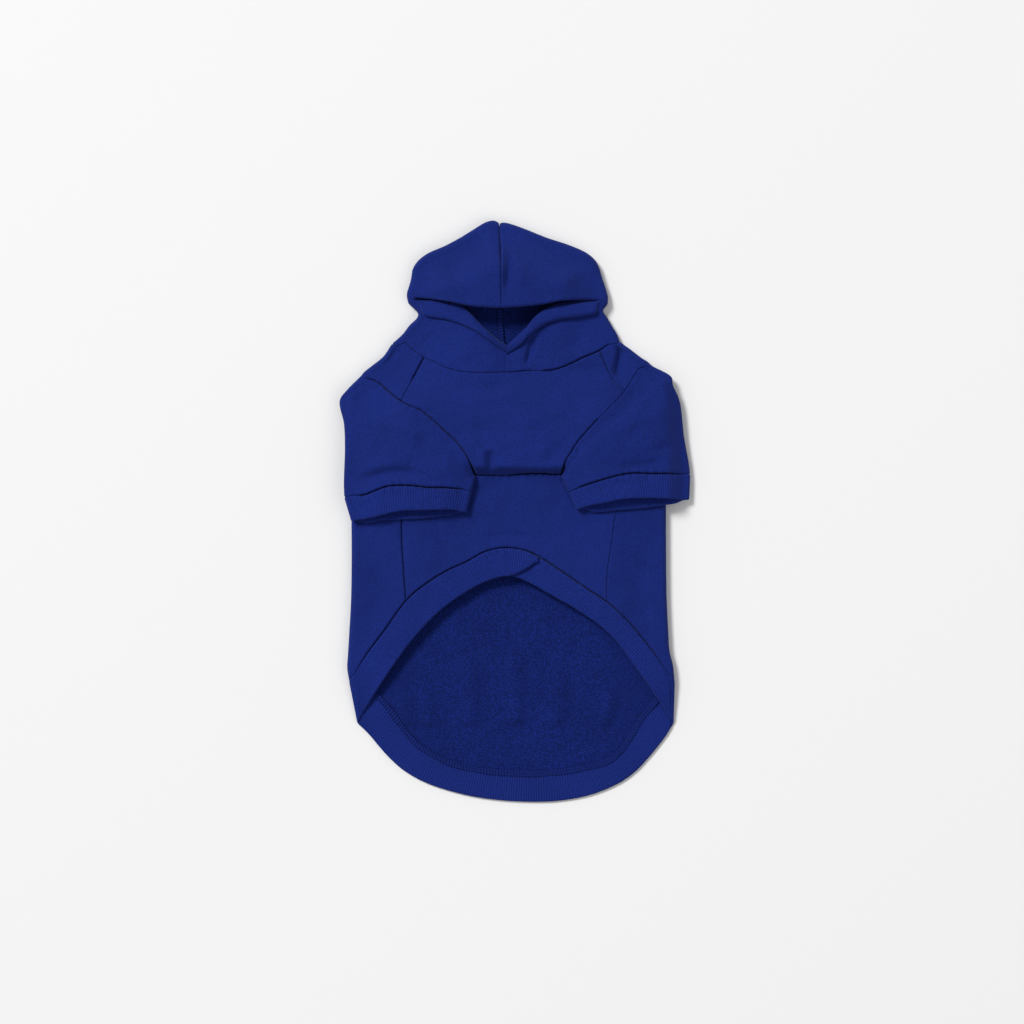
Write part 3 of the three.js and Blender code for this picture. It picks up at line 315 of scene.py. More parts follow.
LINES = {
    Side.LEFT: SideLines(
        body=((349, 683), (347, 670), (347.6, 655), (349, 630), (350.6, 600), (351.2, 560), (351, 520),
              (350.8, 475), (352, 439), (355, 398), (361, 375), (372, 365), (383, 356), (392, 343)),
        hood=((395, 340.5), (403, 333), (409, 325), (416.5, 317), (414.5, 309.5), (407, 301.5), (406.6, 293),
              (409, 285), (411, 277), (412.3, 269), (417, 261), (427, 253), (445, 245), (460, 237),
              (473, 229), (486, 221.3), (494, 219.8)),
        armhole=((361, 375), (370, 378), (379, 383), (387, 390), (401, 401), (410, 406), (420, 410),
                 (432, 419), (445, 431), (457.6, 443), (466.5, 455), (471.6, 465), (476, 475.5)),
        shoulder=((424, 357), (413, 378)),
        shoulder_foot=401,
        side_seam=((401.4, 510), (402, 545), (403.6, 569), (406, 598.5)),
        rim=((414, 298), (428, 299), (449, 302.6), (467.4, 306.8), (484, 308.6)),
        free_edge=((418, 301), (435, 302), (449, 304.3), (460.3, 306.8), (468.8, 313.8), (478.6, 323.7),
                   (491.2, 335), (508, 347.5), (519, 354)),
        crease=((424, 314.6), (446.3, 318.7), (463, 324.4), (477, 331.4), (491, 341.2), (508, 352),
                (519, 358)),
        sleeve=((347.5, 389), (339.5, 400.5), (344, 424), (345, 448), (344, 484), (344.5, 497)),
        cuff_seam=((345.3, 498.3), (355.5, 496.2), (365.7, 494.7), (376, 490.6), (387, 486.7), (401.4, 485.5),
                   (416.7, 486.3), (427, 487.6), (447.3, 488), (462.7, 489.6), (471.8, 491.6)),
        upper_mouth=((351.7, 521.7), (365.7, 519.2), (381, 515.6), (393.3, 512.6), (405.5, 510.7),
                     (421.8, 510.5), (442.2, 509.7), (452.4, 510), (466.7, 513)),
        lower_mouth=((352.5, 523.5), (370.8, 522.6), (381, 520.6), (401.4, 519.6), (417.8, 519), (432, 517.4),
                     (447.3, 515.8), (467.2, 514.8)),
        elbow=510,
        temple=259.5,
    ),
    Side.RIGHT: SideLines(
        body=((675, 683), (673.5, 668), (670, 652), (668.6, 630), (667.2, 600), (666.6, 560), (666.4, 510),
              (666.5, 475), (665, 434), (660, 386), (650, 363), (642, 357.5), (631, 349), (620.4, 340.8)),
        hood=((617.5, 334), (612, 325), (607.5, 317), (605, 309.5), (609, 301.2), (607.5, 293), (605, 285),
              (602.3, 277), (600, 269), (596.5, 261), (588, 253), (571, 245), (547, 237), (527, 229),
              (512, 223.6), (504, 221.8)),
        armhole=((650, 363), (641, 367), (624.6, 391), (608, 409), (596.5, 420.4), (586, 432), (577.4, 442),
                 (571, 452), (564.6, 462.4), (560.8, 475)),
        shoulder=((599.7, 351.5), (609.3, 373), (614.4, 381)),
        shoulder_foot=625,
        side_seam=((617, 503), (611.6, 543), (607.6, 570), (606.5, 601)),
        rim=((600.6, 300.5), (582.4, 300.5), (561.4, 302), (540.3, 306), (519.3, 308.2)),
        free_edge=((597, 301.4), (582.4, 302), (558.5, 305.4), (546, 311), (534.7, 319.4), (526.3, 329.3),
                   (519.3, 336.3), (507, 347.5)),
        crease=((598, 312), (582.4, 315.2), (561.4, 318), (547.3, 322.2), (536, 329.3), (526.3, 337.5),
                (520.7, 344), (506, 354)),
        sleeve=((653, 365.6), (671.8, 377), (673, 384.6), (680, 401), (684.5, 437), (689.6, 465),
                (690.6, 474)),
        cuff_seam=((690.5, 475.2), (673, 474), (647.5, 473.7), (632.2, 473.3), (617, 475.8), (596.5, 481.6),
                   (581.2, 486.7), (568.5, 492.4)),
        upper_mouth=((689.6, 500), (673, 498.8), (654, 498.2), (634.8, 498.4), (618.2, 500), (603, 503.3),
                     (590, 505.8), (576.8, 510.3)),
        lower_mouth=((689.3, 501.5), (666.7, 504.9), (654, 506.8), (634.8, 509.2), (615.7, 510.4),
                     (601.6, 512.2), (578, 512.6)),
        elbow=503,
        temple=258.5,
    ),
}
CROWN = (499.5, 222.5)
NECKLINE = ((392, 343), (404.7, 342), (410, 347), (422.6, 356.5), (436.8, 363), (443.5, 367), (454.7, 370.6),
            (469.6, 372.5), (487, 373), (512, 372), (526, 370.8), (544, 371), (556.7, 369.2), (570.5, 364),
            (582.5, 358), (599, 350.7), (612, 342.5), (620.4, 340.8))
BACK_NECKLINE = ((392, 343), (454.5, 348), (506, 350), (565, 347), (620.4, 340.8))
UNDERARM = ((476, 475.5), (490, 475.5), (505, 476), (520, 474.2), (540, 473.5), (560.8, 475))
HEM_SEAM = ((349, 683), (366, 655), (383, 632), (407, 599.5), (424, 585), (446, 571), (465.5, 562),
            (485, 551.5), (502, 548), (521, 549.5), (538, 556), (562, 571.5), (587, 588.5), (611, 605),
            (630, 623), (652, 650), (675, 683))
HEM_EDGE = ((357, 724), (377, 690), (393, 666), (417, 634.5), (441, 610), (465.5, 592.5), (490, 580),
            (509, 576), (526, 581), (550, 594.5), (574.5, 608.5), (599, 625), (618, 643), (635, 666),
            (657, 698), (674, 724))
TAIL_SEAM = ((349, 683), (360, 688), (376, 696), (392, 714), (405, 732), (418, 746), (436, 757.5), (456, 766),
             (490, 772.6), (526, 775), (562, 772.8), (588, 768), (606, 763), (620, 753), (631, 737),
             (643, 718), (658, 700), (666, 691), (675, 683))
TAIL_EDGE = ((357, 724), (369, 736), (379, 748), (390, 760), (404, 772), (427, 784.5), (465, 796), (496, 801),
             (530, 803), (559, 802), (591, 796), (620, 784), (636, 772.5), (648, 760), (658, 748), (667, 736),
             (674, 724))
HOOD_CENTRE = ((500.7, 309.5), (501, 285), (500.5, 255), (499.6, 238))
HOOD_SEAM = ((499.6, 306), (500.5, 325), (502.5, 347))
THROAT_STITCHES = (
    ((523.5, 356), (522.8, 363), (522.4, 370)),
    ((507.5, 358), (516, 359.4), (523, 359)),
    ((507.5, 368.5), (515, 369.2), (522.5, 369)),
)
LAP_FROM, LAP_TO, LAP_SLOPE = 506.0, 520.0, 16.0
LAP_TIP, LAP_SEAM, LAP_UNDER = 509.0, 540.0, 545.0
CREASE_END = {Side.LEFT: 313.2, Side.RIGHT: 311.0}
RIM_END = 300.0
LAP_CUT = ((509, 576), (519, 572.5), (529, 566.5), (536.5, 560))

PUCKERS = (
    Pucker(NECKLINE[:11], 8.0, 0.18, 3.2, 0.15),
    Pucker(NECKLINE[11:], 8.0, 0.18, 3.2, 1.2),
    Pucker(UNDERARM, 6.0, 0.3),
    Pucker(HEM_SEAM, 6.5, 0.24, 2.6, 1.1),
    Pucker(LINES[Side.LEFT].armhole, 7.0, 0.24, 3.0, 1.2),
    Pucker(LINES[Side.RIGHT].armhole[:4], 7.0, 0.22, 3.2, 0.1),
    Pucker(LINES[Side.RIGHT].armhole[4:], 7.0, 0.22, 3.2, 1.1),
    Pucker(LINES[Side.LEFT].side_seam, 9.0, 0.16),
    Pucker(LINES[Side.RIGHT].side_seam, 9.0, 0.2, 2.0, 0.15),
    Pucker(LINES[Side.LEFT].shoulder, 7.0, 0.2, 2.4, 1.2),
    Pucker(LINES[Side.RIGHT].shoulder, 7.0, 0.24, 2.0, 0.7),
)
SLEEVE_PUCKERS = tuple(Pucker(lines.cuff_seam, 6.0, 0.26, 3.4, 1.1) for lines in LINES.values())
SHOULDER_CREASES = (
    Crease(((620.5, 341), (621, 350), (619, 362), (615.5, 379)), 2.7, 5.2, 0.12),
    Crease(((398, 345), (392, 356), (386, 368)), 3.4, 1.2),
)

CHEST_CREASES = (
    Crease(((489, 449), (491, 461), (489, 476)), 3.2, 2.3),
    Crease(((480, 448), (483, 458), (480, 470)), 4.0, -1.0),
    Crease(((452, 384), (468, 388.5), (487, 389), (516, 385)), 4.5, 1.2),
    Crease(((455, 393), (485, 397), (520, 393)), 6, -0.5),
    Crease(((610, 382), (588, 372), (560, 364)), 7, 1.5),
    Crease(((545, 470), (552, 455), (566, 440)), 6, 1.1),
    Crease(((470, 440), (492, 430), (520, 433)), 12, 1.0),
    Crease(((420, 392), (450, 420), (470, 446)), 9, 0.9),
    Crease(((590, 392), (560, 425), (548, 455)), 10, 0.9),
)
NECK_CREASES = (
    Crease(((533, 334), (529.5, 350), (526, 367)), 1.7, 2.0, 0.2),
    Crease(((538, 333), (534, 345), (531, 360)), 1.8, 1.3, 0.25),
    Crease(((425, 330), (440, 345), (452, 362)), 8, 0.9),
    Crease(((585, 325), (575, 340), (566, 358)), 9, 0.9),
)
BELLY_CREASES = (
    Crease(((478, 541), (492, 536.5), (508, 535.5), (526, 537), (542, 544)), 3.6, 1.0, 0.35),
    Crease(((486, 547), (508, 542.5), (536, 549)), 4, -0.7),
    Crease(((420, 525), (455, 533), (480, 528)), 10, 0.8),
    Crease(((370, 560), (380, 600), (366, 640)), 12, 1.2),
    Crease(((640, 545), (636, 590), (648, 630)), 12, 1.2),
    Crease(((398, 520), (400, 560), (404, 596)), 5, 0.7),
)
CROWN_CREASES = (
    Crease(((506.5, 252), (509.5, 268), (508, 280), (504.5, 297)), 3.4, 2.4),
    Crease(((502.8, 235), (503, 262), (502.8, 300)), 1.5, -0.8, 0.1),
    Crease(((520, 262), (522, 275), (519, 290)), 5, -0.7),
    Crease(((560, 250), (575, 270), (590, 288)), 11, 1.0),
    Crease(((440, 262), (455, 276), (450, 292)), 12, 0.9),
    Crease(((530, 303), (560, 297), (590, 296)), 5, 0.8),
    Crease(((425, 292), (450, 297), (478, 302)), 5, 0.7),
)
SLEEVE_CREASES = (
    Crease(((352, 484), (372, 477), (392, 472.5), (410, 473), (432, 480)), 3.6, 1.9),
    Crease(((360, 471), (385, 464), (410, 465)), 5, -0.7),
    Crease(((612, 464), (632, 467), (650, 464), (672, 458)), 4.5, 1.5),
    Crease(((640, 455), (655, 452), (672, 444)), 5, 0.9),
    Crease(((655, 385), (650, 410), (640, 440)), 9, 1.0),
    Crease(((372, 405), (380, 430), (396, 452)), 10, 1.0),
    Crease(((420, 430), (428, 448), (446, 462)), 7, 0.8),
)
LINING_CREASES = (
    Crease(((424, 684), (430, 720), (442, 757)), 5.5, -3.0),
    Crease(((468, 650), (471, 700), (472, 762)), 6, -2.6),
    Crease(((515, 640), (515, 700), (518, 767)), 5.5, -3.1),
    Crease(((560, 660), (556, 710), (550, 765)), 6, -2.8),
    Crease(((612, 680), (606, 720), (590, 760)), 5.5, -2.9),
    Crease(((396, 690), (406, 715), (420, 740)), 5, -2.2),
)


def _outline(side: Side) -> Line:
    """Folded outline of one half, from the corner of the hem to the crown."""
    lines = LINES[side]
    return Line(seen((*lines.body, *lines.hood, CROWN)))


def _outline_loop() -> Array:
    """Closed outline of the folded garment, open-sided at the hem."""
    left, right = (_outline(side).part(0, 1, 170) for side in Side)
    return np.vstack([seen((HEM_EDGE[0],)), left, right[::-1], seen((HEM_EDGE[-1],))])


@dataclass(frozen=True)
class Lie:
    """How the folded garment lies: heights of its layers above the surface, in millimetres."""

    side_fold: float = 9.0
    shoulder_fold: float = 7.4
    hood_fold: float = 9.5
    belly_loft: float = 12.0
    chest_loft: float = 22.0
    neck_loft: float = 15.5
    hood_loft: float = 25.0
    side_slope: float = 46.0
    hood_slope: float = 34.0
    sleeve_fold: float = 7.0
    sleeve_rise: float = 4.5
    sleeve_droop: float = 17.0
    lay_gap: float = 0.8
    drape: float = 1.4
    tuck: float = 4.2
    press: float = 4.0
    corner_press: float = 0.42
    loop: Array = field(default_factory=_outline_loop, compare=False)

    def depth(self, plan: Array) -> Array:
        """Distance from the outline, negative outside it. The open hem side doesn't count."""
        far, _ = nearest(plan, self.loop)
        return np.where(inside(plan, self.loop), far, -far)

    def fold(self, y: Array) -> Array:
        """Height of the folded side edge: it eases from the belly to the shoulders and to the hood."""
        shoulders = mix(self.side_fold, self.shoulder_fold, ease((y - UNDERARM_Y) / CHEST_LENGTH + 0.4))
        return mix(shoulders, self.hood_fold, ease((y - NECK_Y) / HOOD_LENGTH * 3))

    def pillow(self, plan: Array, loft: Array, slope: float) -> Array:
        """Upper layer that eases from the folded edge up to its loft over the slope."""
        edge = self.fold(plan[..., 1])
        return mix(edge, loft, ease((self.depth(plan) - edge / 2) / slope))

    def _settled(self, plan: Array) -> Array:
        """0 at the folded edge and 1 well inside it, for creases that die out there."""
        return ease(self.depth(plan) / SETTLE - 0.3)

    def belly(self, plan: Array, u: Array = 0, v: Array = 0) -> Array:
        """Upper layer over the belly, without its creases."""
        return self.pillow(plan, self.belly_loft, self.side_slope)

    def tucked(self, plan: Array, u: Array, v: Array) -> Array:
        """Side strip where it goes in under a sleeve: pressed down clear of the sleeve's layers."""
        return self.belly(plan) - self.tuck * ease(np.asarray(v) / 0.2) * ease(np.asarray(u) / 0.1)

    def belly_laid(self, plan: Array, u: Array = 0, v: Array = 0) -> Array:
        """Upper layer over the belly with its creases and swell."""
        return self.belly(plan) + self._loose(plan, BELLY_CREASES, 26, 0.4, 0.28)

    def _loose(
        self, plan: Array, creases: tuple[Crease, ...], size: float, seed: float, high: float
    ) -> Array:
        """Creases, swell and gathered seams of a layer, dying out at the folded edge."""
        total = self.drape * heights(creases, plan) + swell(plan, size, seed, high)
        total = total + swell(plan, size / 3.1, seed + 1, high / 4)
        return (total + heights(PUCKERS, plan)) * self._settled(plan)

    def front(self, plan: Array, u: Array = 0, v: Array = 0) -> Array:
        """Upper layer over the chest, the shoulders and the neck."""
        chest = (plan[..., 1] - UNDERARM_Y) / CHEST_LENGTH
        loft = mix(self.chest_loft, self.neck_loft, ease((chest - 0.5) / 0.55))
        smooth = self.pillow(plan, loft, self.side_slope)
        near = ease((self.depth(plan) - 3.0) / 2.0)
        folded = heights(SHOULDER_CREASES, plan) * near
        return smooth + self._loose(plan, CHEST_CREASES + NECK_CREASES, 24, 1.9, 0.3) + folded

    def chest(self, plan: Array, u: Array = 0, v: Array = 0) -> Array:
        """Chest cloth: the front layer, curling down to the belly at the underarm seam."""
        share = ease((plan[..., 1] - UNDERARM_Y) / 8 + 0.1)
        return mix(self.belly_laid(plan), self.front(plan), share)

    def crown(self, plan: Array, u: Array = 0, v: Array = 0) -> Array:
        """Upper layer of the hood behind the face opening."""
        smooth = self.pillow(plan, self.hood_loft, self.hood_slope)
        return smooth + self._loose(plan, CROWN_CREASES, 30, 4.1, 0.3)

    def lining(self, plan: Array, u: Array = 0, v: Array = 0) -> Array:
        """Back layer: on the surface, lifted only along its soft streaks."""
        raised = heights(LINING_CREASES, plan)
        return np.maximum(raised + swell(plan, 18, 2.2, 0.22) + 0.1, 0) * self._settled(plan)

    def sleeve_base(self, plan: Array, u: Array = 0, v: Array = 0) -> Array:
        """Underside of a sleeve: on the body, drooping past the body's folded side."""
        beyond = -self.depth(plan)
        lying = self.lay_gap + self.belly(plan) * (1 - ease(beyond / self.sleeve_droop))
        across, along = np.asarray(u), np.asarray(v)
        at_armhole = (1 - ease(along / 0.3)) * (1 - ease((across - 0.72) / 0.2))
        at_shoulder = (1 - ease(across / 0.16)) * (1 - ease(along / 0.22))
        return (lying - self.press * at_armhole) * (1 - at_shoulder)

    def sleeve_top(self, plan: Array, u: Array, v: Array) -> Array:
        """Upper layer of a sleeve: level with the chest at the armhole, then swelling between its folds."""
        edge = self.sleeve_base(plan, u, v) + self.sleeve_fold * self.sleeve_opening(u, v)
        between = ease(u / 0.3) * ease((1 - u) / 0.25)
        loose = self.drape * heights(SLEEVE_CREASES + SLEEVE_PUCKERS, plan)
        loose = loose + swell(plan, 22, 3.3, 0.3) + swell(plan, 8, 1, 0.08)
        free = ease(u / 0.15) * ease((1 - u) / 0.15)
        rise = ease(v / 0.4)
        level = mix(self.front(plan), edge, ease(1 - u / 0.12) * ease(v / 0.2))
        level = mix(level, edge, ease(1 - (1 - u) / 0.14))
        return mix(level, edge + self.sleeve_rise * between, rise) + loose * free * ease(v / 0.15)

    @staticmethod
    def sleeve_opening(u: Array, v: Array) -> Array:
        """Share of a sleeve's fold height: the inner fold closes towards the underarm."""
        return mix(1.0, mix(0.42, 1.0, ease(np.asarray(v) / 0.35)), ease((np.asarray(u) - 0.8) / 0.2))


def spaced(length: float, cell: float, start: bool = False, end: bool = False) -> Array:
    """Shares from 0 to 1 along a run, closer together beside a sewn or free edge.

    Args:
        length: length of the run in millimetres.
        cell: usual spacing in millimetres.
        start: whether the run starts at such an edge.
        end: whether it ends at one.

    Returns:
        Rising shares.
    """
    near = np.array([0, 0.15, 0.45, 0.9, 1.5])
    low = near if start else near[:1]
    high = length - (near[::-1] if end else near[:1])
    cells = max(2, round((high[0] - low[-1]) / cell))
    return np.concatenate([low[:-1], np.linspace(low[-1], high[0], cells + 1), high[1:]]) / length


def drawn(plan: Array, start: Array | None = None, end: Array | None = None, reach: float = 14.0) -> Array:
    """Carries the ends of a run to given points: each shift dies out smoothly over the reach.

    Args:
        plan: plan points along the run.
        start: where its first point goes, or none to leave it.
        end: where its last point goes, or none to leave it.
        reach: length in millimetres over which a shift dies out.

    Returns:
        The moved plan points.
    """
    steps = np.linalg.norm(np.diff(plan, axis=0), axis=1)
    travel = np.concatenate([[0], np.cumsum(steps)])
    moved = plan.copy()
    for point, far, index in ((start, travel, 0), (end, travel[-1] - travel, -1)):
        if point is not None:
            moved += (point[:2] - plan[index]) * (1 - ease(far / reach))[:, None]
    return moved


def shares_of(shares: Array) -> Array:
    """Shares of a stretch, from 0 to 1."""
    return (shares - shares[0]) / (shares[-1] - shares[0])


def run(plan: Array, height: Height) -> Array:
    """Lays plan points at their layer's height."""
    return np.column_stack([plan, height(plan, np.linspace(0, 1, len(plan)), 0)])


def sheet(
    bottom: Array, top: Array, left: Array, right: Array, us: Array, vs: Array, height: Height
) -> Array:
    """Cloth between four runs: in plan the blend of both pairs less their corners, laid at a height.

    Args:
        bottom: run where v is 0, along u.
        top: run where v is 1.
        left: run where u is 0, along v.
        right: run where u is 1.
        us: shares of the columns.
        vs: shares of the rows.
        height: height of the layer at a plan point, u and v.

    Returns:
        Grid of points, rows by columns.
    """
    u, v = us[None, :, None], vs[:, None, None]
    across = mix(left[:, None, :2], right[:, None, :2], u)
    along = mix(bottom[None, :, :2], top[None, :, :2], v)
    corners = mix(mix(bottom[0, :2], bottom[-1, :2], u), mix(top[0, :2], top[-1, :2], u), v)
    plan = across + along - corners
    wide, tall = np.broadcast_arrays(u[..., 0], v[..., 0])
    grid = np.dstack([plan, height(plan, wide, tall)])
    grid[0], grid[-1], grid[:, 0], grid[:, -1] = bottom, top, left, right
    return grid


def fold(low: Array, high: Array, outward: Array, cells: int) -> Array:
    """Rounded fold from a lower to an upper run: half a circle that bulges outward, stretched to reach."""
    turn = np.linspace(0, np.pi, cells + 1)[None, :, None]
    bulge = (high[:, None, 2:] - low[:, None, 2:]) / 2 * np.sin(turn)
    return mix(low[:, None], high[:, None], (1 - np.cos(turn)) / 2) + outward[:, None] * bulge


class Cloth:
    """Grids of points, welded into one skin and given thickness toward the inside of the garment."""

    def __init__(self, thickness: float, rounding: float = 1.3, trim: float = 0.02) -> None:
        """Starts an empty piece.

        Args:
            thickness: thickness of the cloth in millimetres.
            rounding: distance from an open edge over which the cloth rounds off.
            trim: how far the open edges are drawn back from the seam.
        """
        self.thickness = thickness
        self.rounding = rounding
        self.trim = trim
        self.points: list[Array] = []
        self.quads: list[Array] = []
        self.ways: list[Array] = []
        self.relief: list[Array] = []
        self.count = 0

    def add(
        self, grid: Array, outward: Array, relief: Array | None = None, probe: slice = slice(None),
        way: Array | None = None,
    ) -> Cloth:
        """Adds a grid whose outer face looks along a direction.

        Args:
            grid: points, rows by columns.
            outward: direction that the outer face looks along.
            relief: extra height of both faces at each point, such as ribs.
            probe: rows that the direction is true for.
            way: distance along the cloth at each point, or none to measure it from the middle column.

        Returns:
            The piece itself.
        """
        rows, columns = grid.shape[:2]
        index = self.count + np.arange(rows * columns).reshape(rows, columns)
        quads = np.stack([index[:-1, :-1], index[:-1, 1:], index[1:, 1:], index[1:, :-1]], -1)
        slant = np.cross(grid[1:, 1:] - grid[:-1, :-1], grid[1:, :-1] - grid[:-1, 1:])
        if (slant[probe] @ outward).sum() < 0:
            quads = quads[..., ::-1]
        way = self._measured(grid) if way is None else way
        self.points.append(grid.reshape(-1, 3))
        self.quads.append(quads.reshape(-1, 4))
        self.ways.append(way.reshape(-1, 2))
        self.relief.append(np.zeros(rows * columns) if relief is None else relief.reshape(-1))
        self.count += rows * columns
        return self

    @staticmethod
    def _measured(grid: Array) -> Array:
        """Distance across from the middle column and along from the first row."""
        across = np.linalg.norm(np.diff(grid, axis=1), axis=2).cumsum(1)
        along = np.linalg.norm(np.diff(grid, axis=0), axis=2).cumsum(0)
        way = np.zeros((*grid.shape[:2], 2))
        middle = grid.shape[1] // 2 - 1
        way[:, 1:, 0] = across - across[:, middle, None]
        way[:, 0, 0] = -across[:, middle]
        way[1:, :, 1] = along
        return way

    def build(self, name: str, materials: list[bpy.types.Material]) -> bpy.types.Object:
        """Welds the grids, gives them thickness and makes the object.

        Args:
            name: name of the object.
            materials: material of the outside and of the inside.

        Returns:
            The object, with its place in its mesh.
        """
        loose, ways = np.vstack(self.points), np.vstack(self.ways)
        raw = np.vstack(self.quads)
        _, first, weld = np.unique(np.round(loose, 3), axis=0, return_index=True, return_inverse=True)
        weld = weld.reshape(-1)
        points, quads = loose[first], weld[raw]
        relief = np.concatenate(self.relief)[first]
        normals = self._normals(points, quads)
        rim = self._rim(quads, len(points))
        points = self._trimmed(points, normals, rim)
        far = self._edge_distance(points, quads, rim)
        round_off = np.sqrt(1 - (1 - np.clip(far / self.rounding, 0, 1)) ** 2)
        half = np.maximum(self.thickness / 2 * round_off, 0.12) + relief * round_off
        middle = points - normals * self.thickness / 2
        middle[:, 2] = np.maximum(middle[:, 2], self.thickness / 2 * np.abs(normals[:, 2]))
        outer, inner = middle + normals * half[:, None], middle - normals * half[:, None]
        count = len(points)
        walls = np.column_stack([rim[:, 0], rim[:, 0] + count, rim[:, 1] + count, rim[:, 1]])
        faces = np.vstack([quads, quads[:, ::-1] + count, walls])
        by_point = ways[first]
        corners = np.concatenate([ways[raw], ways[raw[:, ::-1]], by_point[walls % count]])
        sides = np.repeat([Face.OUTSIDE.value, Face.INSIDE.value, Face.OUTSIDE.value],
                          [len(quads), len(quads), len(walls)])
        return solid(name, np.vstack([outer, inner]), faces, corners, sides, materials)

    @staticmethod
    def _normals(points: Array, quads: Array) -> Array:
        """Unit normals of the points: the sum of the area vectors of the faces round each."""
        slant = np.cross(points[quads[:, 2]] - points[quads[:, 0]], points[quads[:, 3]] - points[quads[:, 1]])
        slant /= np.maximum(np.linalg.norm(slant, axis=1, keepdims=True), TINY) ** 0.5
        total = np.stack([np.bincount(quads.ravel(), np.repeat(part, 4), len(points)) for part in slant.T], 1)
        return unit(total)

    @staticmethod
    def _rim(quads: Array, count: int) -> Array:
        """Directed edges that only one face has."""
        edges = np.stack([quads, np.roll(quads, -1, axis=1)], -1).reshape(-1, 2)
        edges = edges[edges[:, 0] != edges[:, 1]]
        there, back = edges @ (count, 1), edges @ (1, count)
        return edges[~np.isin(there, back)]

    def _trimmed(self, points: Array, normals: Array, rim: Array) -> Array:
        """Draws the open edges back in their own surface."""
        along = points[rim[:, 1]] - points[rim[:, 0]]
        into = unit(np.cross(normals[rim[:, 0]], along))
        ends = rim.T.ravel()
        pull = np.stack([np.bincount(ends, np.tile(part, 2), len(points)) for part in into.T], 1)
        size = np.linalg.norm(pull, axis=1, keepdims=True)
        return points + pull / np.maximum(size, TINY) * self.trim * (size > 0.5)

    def _edge_distance(self, points: Array, quads: Array, rim: Array) -> Array:
        """Distance of each point from the open edges, walked along the mesh for a few steps."""
        far = np.full(len(points), 1e3)
        far[rim.ravel()] = 0
        start, end = quads.ravel(), np.roll(quads, -1, axis=1).ravel()
        long = np.linalg.norm(points[start] - points[end], axis=1)
        for _ in range(7):
            np.minimum.at(far, end, far[start] + long)
            np.minimum.at(far, start, far[end] + long)
        return far


def solid(
    name: str, points: Array, faces: Array, ways: Array, sides: Array, materials: list[bpy.types.Material]
) -> bpy.types.Object:
    """Makes a mesh object from whole arrays.

    Args:
        name: name of the object and its mesh.
        points: points in millimetres.
        faces: four point indices a face. A repeated one makes it a triangle.
        ways: distance along the cloth at each corner of each face, in millimetres.
        sides: material slot of each face.
        materials: the materials.

    Returns:
        The object at the origin.
    """
    mesh = bpy.data.meshes.new(name)
    same = faces == np.roll(faces, -1, axis=1)
    whole = ~same.any(1)
    three = same.sum(1) == 1
    keep = ~same[three]
    triangles = faces[three][keep].reshape(-1, 3)
    mesh.from_pydata((points * METRE).tolist(), [], faces[whole].tolist() + triangles.tolist())
    layer = mesh.uv_layers.new(name="cloth")
    flat = np.vstack([ways[whole].reshape(-1, 2), ways[three][keep].reshape(-1, 2)])
    layer.data.foreach_set("uv", (flat * CENTIMETRE).ravel())
    mesh.polygons.foreach_set("material_index", np.concatenate([sides[whole], sides[three]]))
    mesh.polygons.foreach_set("use_smooth", np.ones(len(mesh.polygons), bool))
    for material in materials:
        mesh.materials.append(material)
    mesh.update()
    piece = bpy.data.objects.new(name, mesh)
    bpy.context.scene.collection.objects.link(piece)
    return piece


class Nodes:
    """Adds nodes to a tree and joins them."""

    def __init__(self, tree: bpy.types.NodeTree) -> None:
        """Keeps the tree."""
        self.tree = tree

    def join(self, value: object, socket: bpy.types.NodeSocket) -> None:
        """Links an output to a socket, or sets the socket to a plain value."""
        if isinstance(value, bpy.types.NodeSocket):
            self.tree.links.new(value, socket)
        else:
            socket.default_value = value

    def new(
        self, kind: str, inputs: dict[str | int, object] | None = None, **settings: object
    ) -> bpy.types.Node:
        """Adds a node.

        Args:
            kind: its type without the ShaderNode prefix.
            inputs: values or outputs by socket name or number.
            settings: its properties.

        Returns:
            The node.
        """
        node = self.tree.nodes.new("ShaderNode" + kind)
        for key, value in settings.items():
            setattr(node, key, value)
        for key, value in (inputs or {}).items():
            self.join(value, node.inputs[key])
        return node

    def math(self, operation: str, first: object, second: object = 0.0, third: object = 0.0) -> object:
        """Output of a Math node."""
        return self.new("Math", {0: first, 1: second, 2: third}, operation=operation).outputs[0]

    def span(self, value: object, low: float, high: float, to_low: float, to_high: float) -> object:
        """A value carried from one range to another."""
        inputs = {"Value": value, "From Min": low, "From Max": high, "To Min": to_low, "To Max": to_high}
        return self.new("MapRange", inputs).outputs["Result"]


def group(name: str, inputs: dict[str, float], outputs: tuple[str, ...]) -> tuple[Nodes, object, object]:
    """Starts a shader node group.

    Args:
        name: name of the group.
        inputs: number inputs and their usual values. A vector input named Place comes first.
        outputs: names of its number outputs.

    Returns:
        Its nodes, its input node and its output node.
    """
    tree = bpy.data.node_groups.new(name, "ShaderNodeTree")
    tree.interface.new_socket("Place", in_out="INPUT", socket_type="NodeSocketVector")
    for key, value in inputs.items():
        socket = tree.interface.new_socket(key, in_out="INPUT", socket_type="NodeSocketFloat")
        socket.default_value = value
    for key in outputs:
        tree.interface.new_socket(key, in_out="OUTPUT", socket_type="NodeSocketFloat")
    nodes = Nodes(tree)
    return nodes, tree.nodes.new("NodeGroupInput"), tree.nodes.new("NodeGroupOutput")


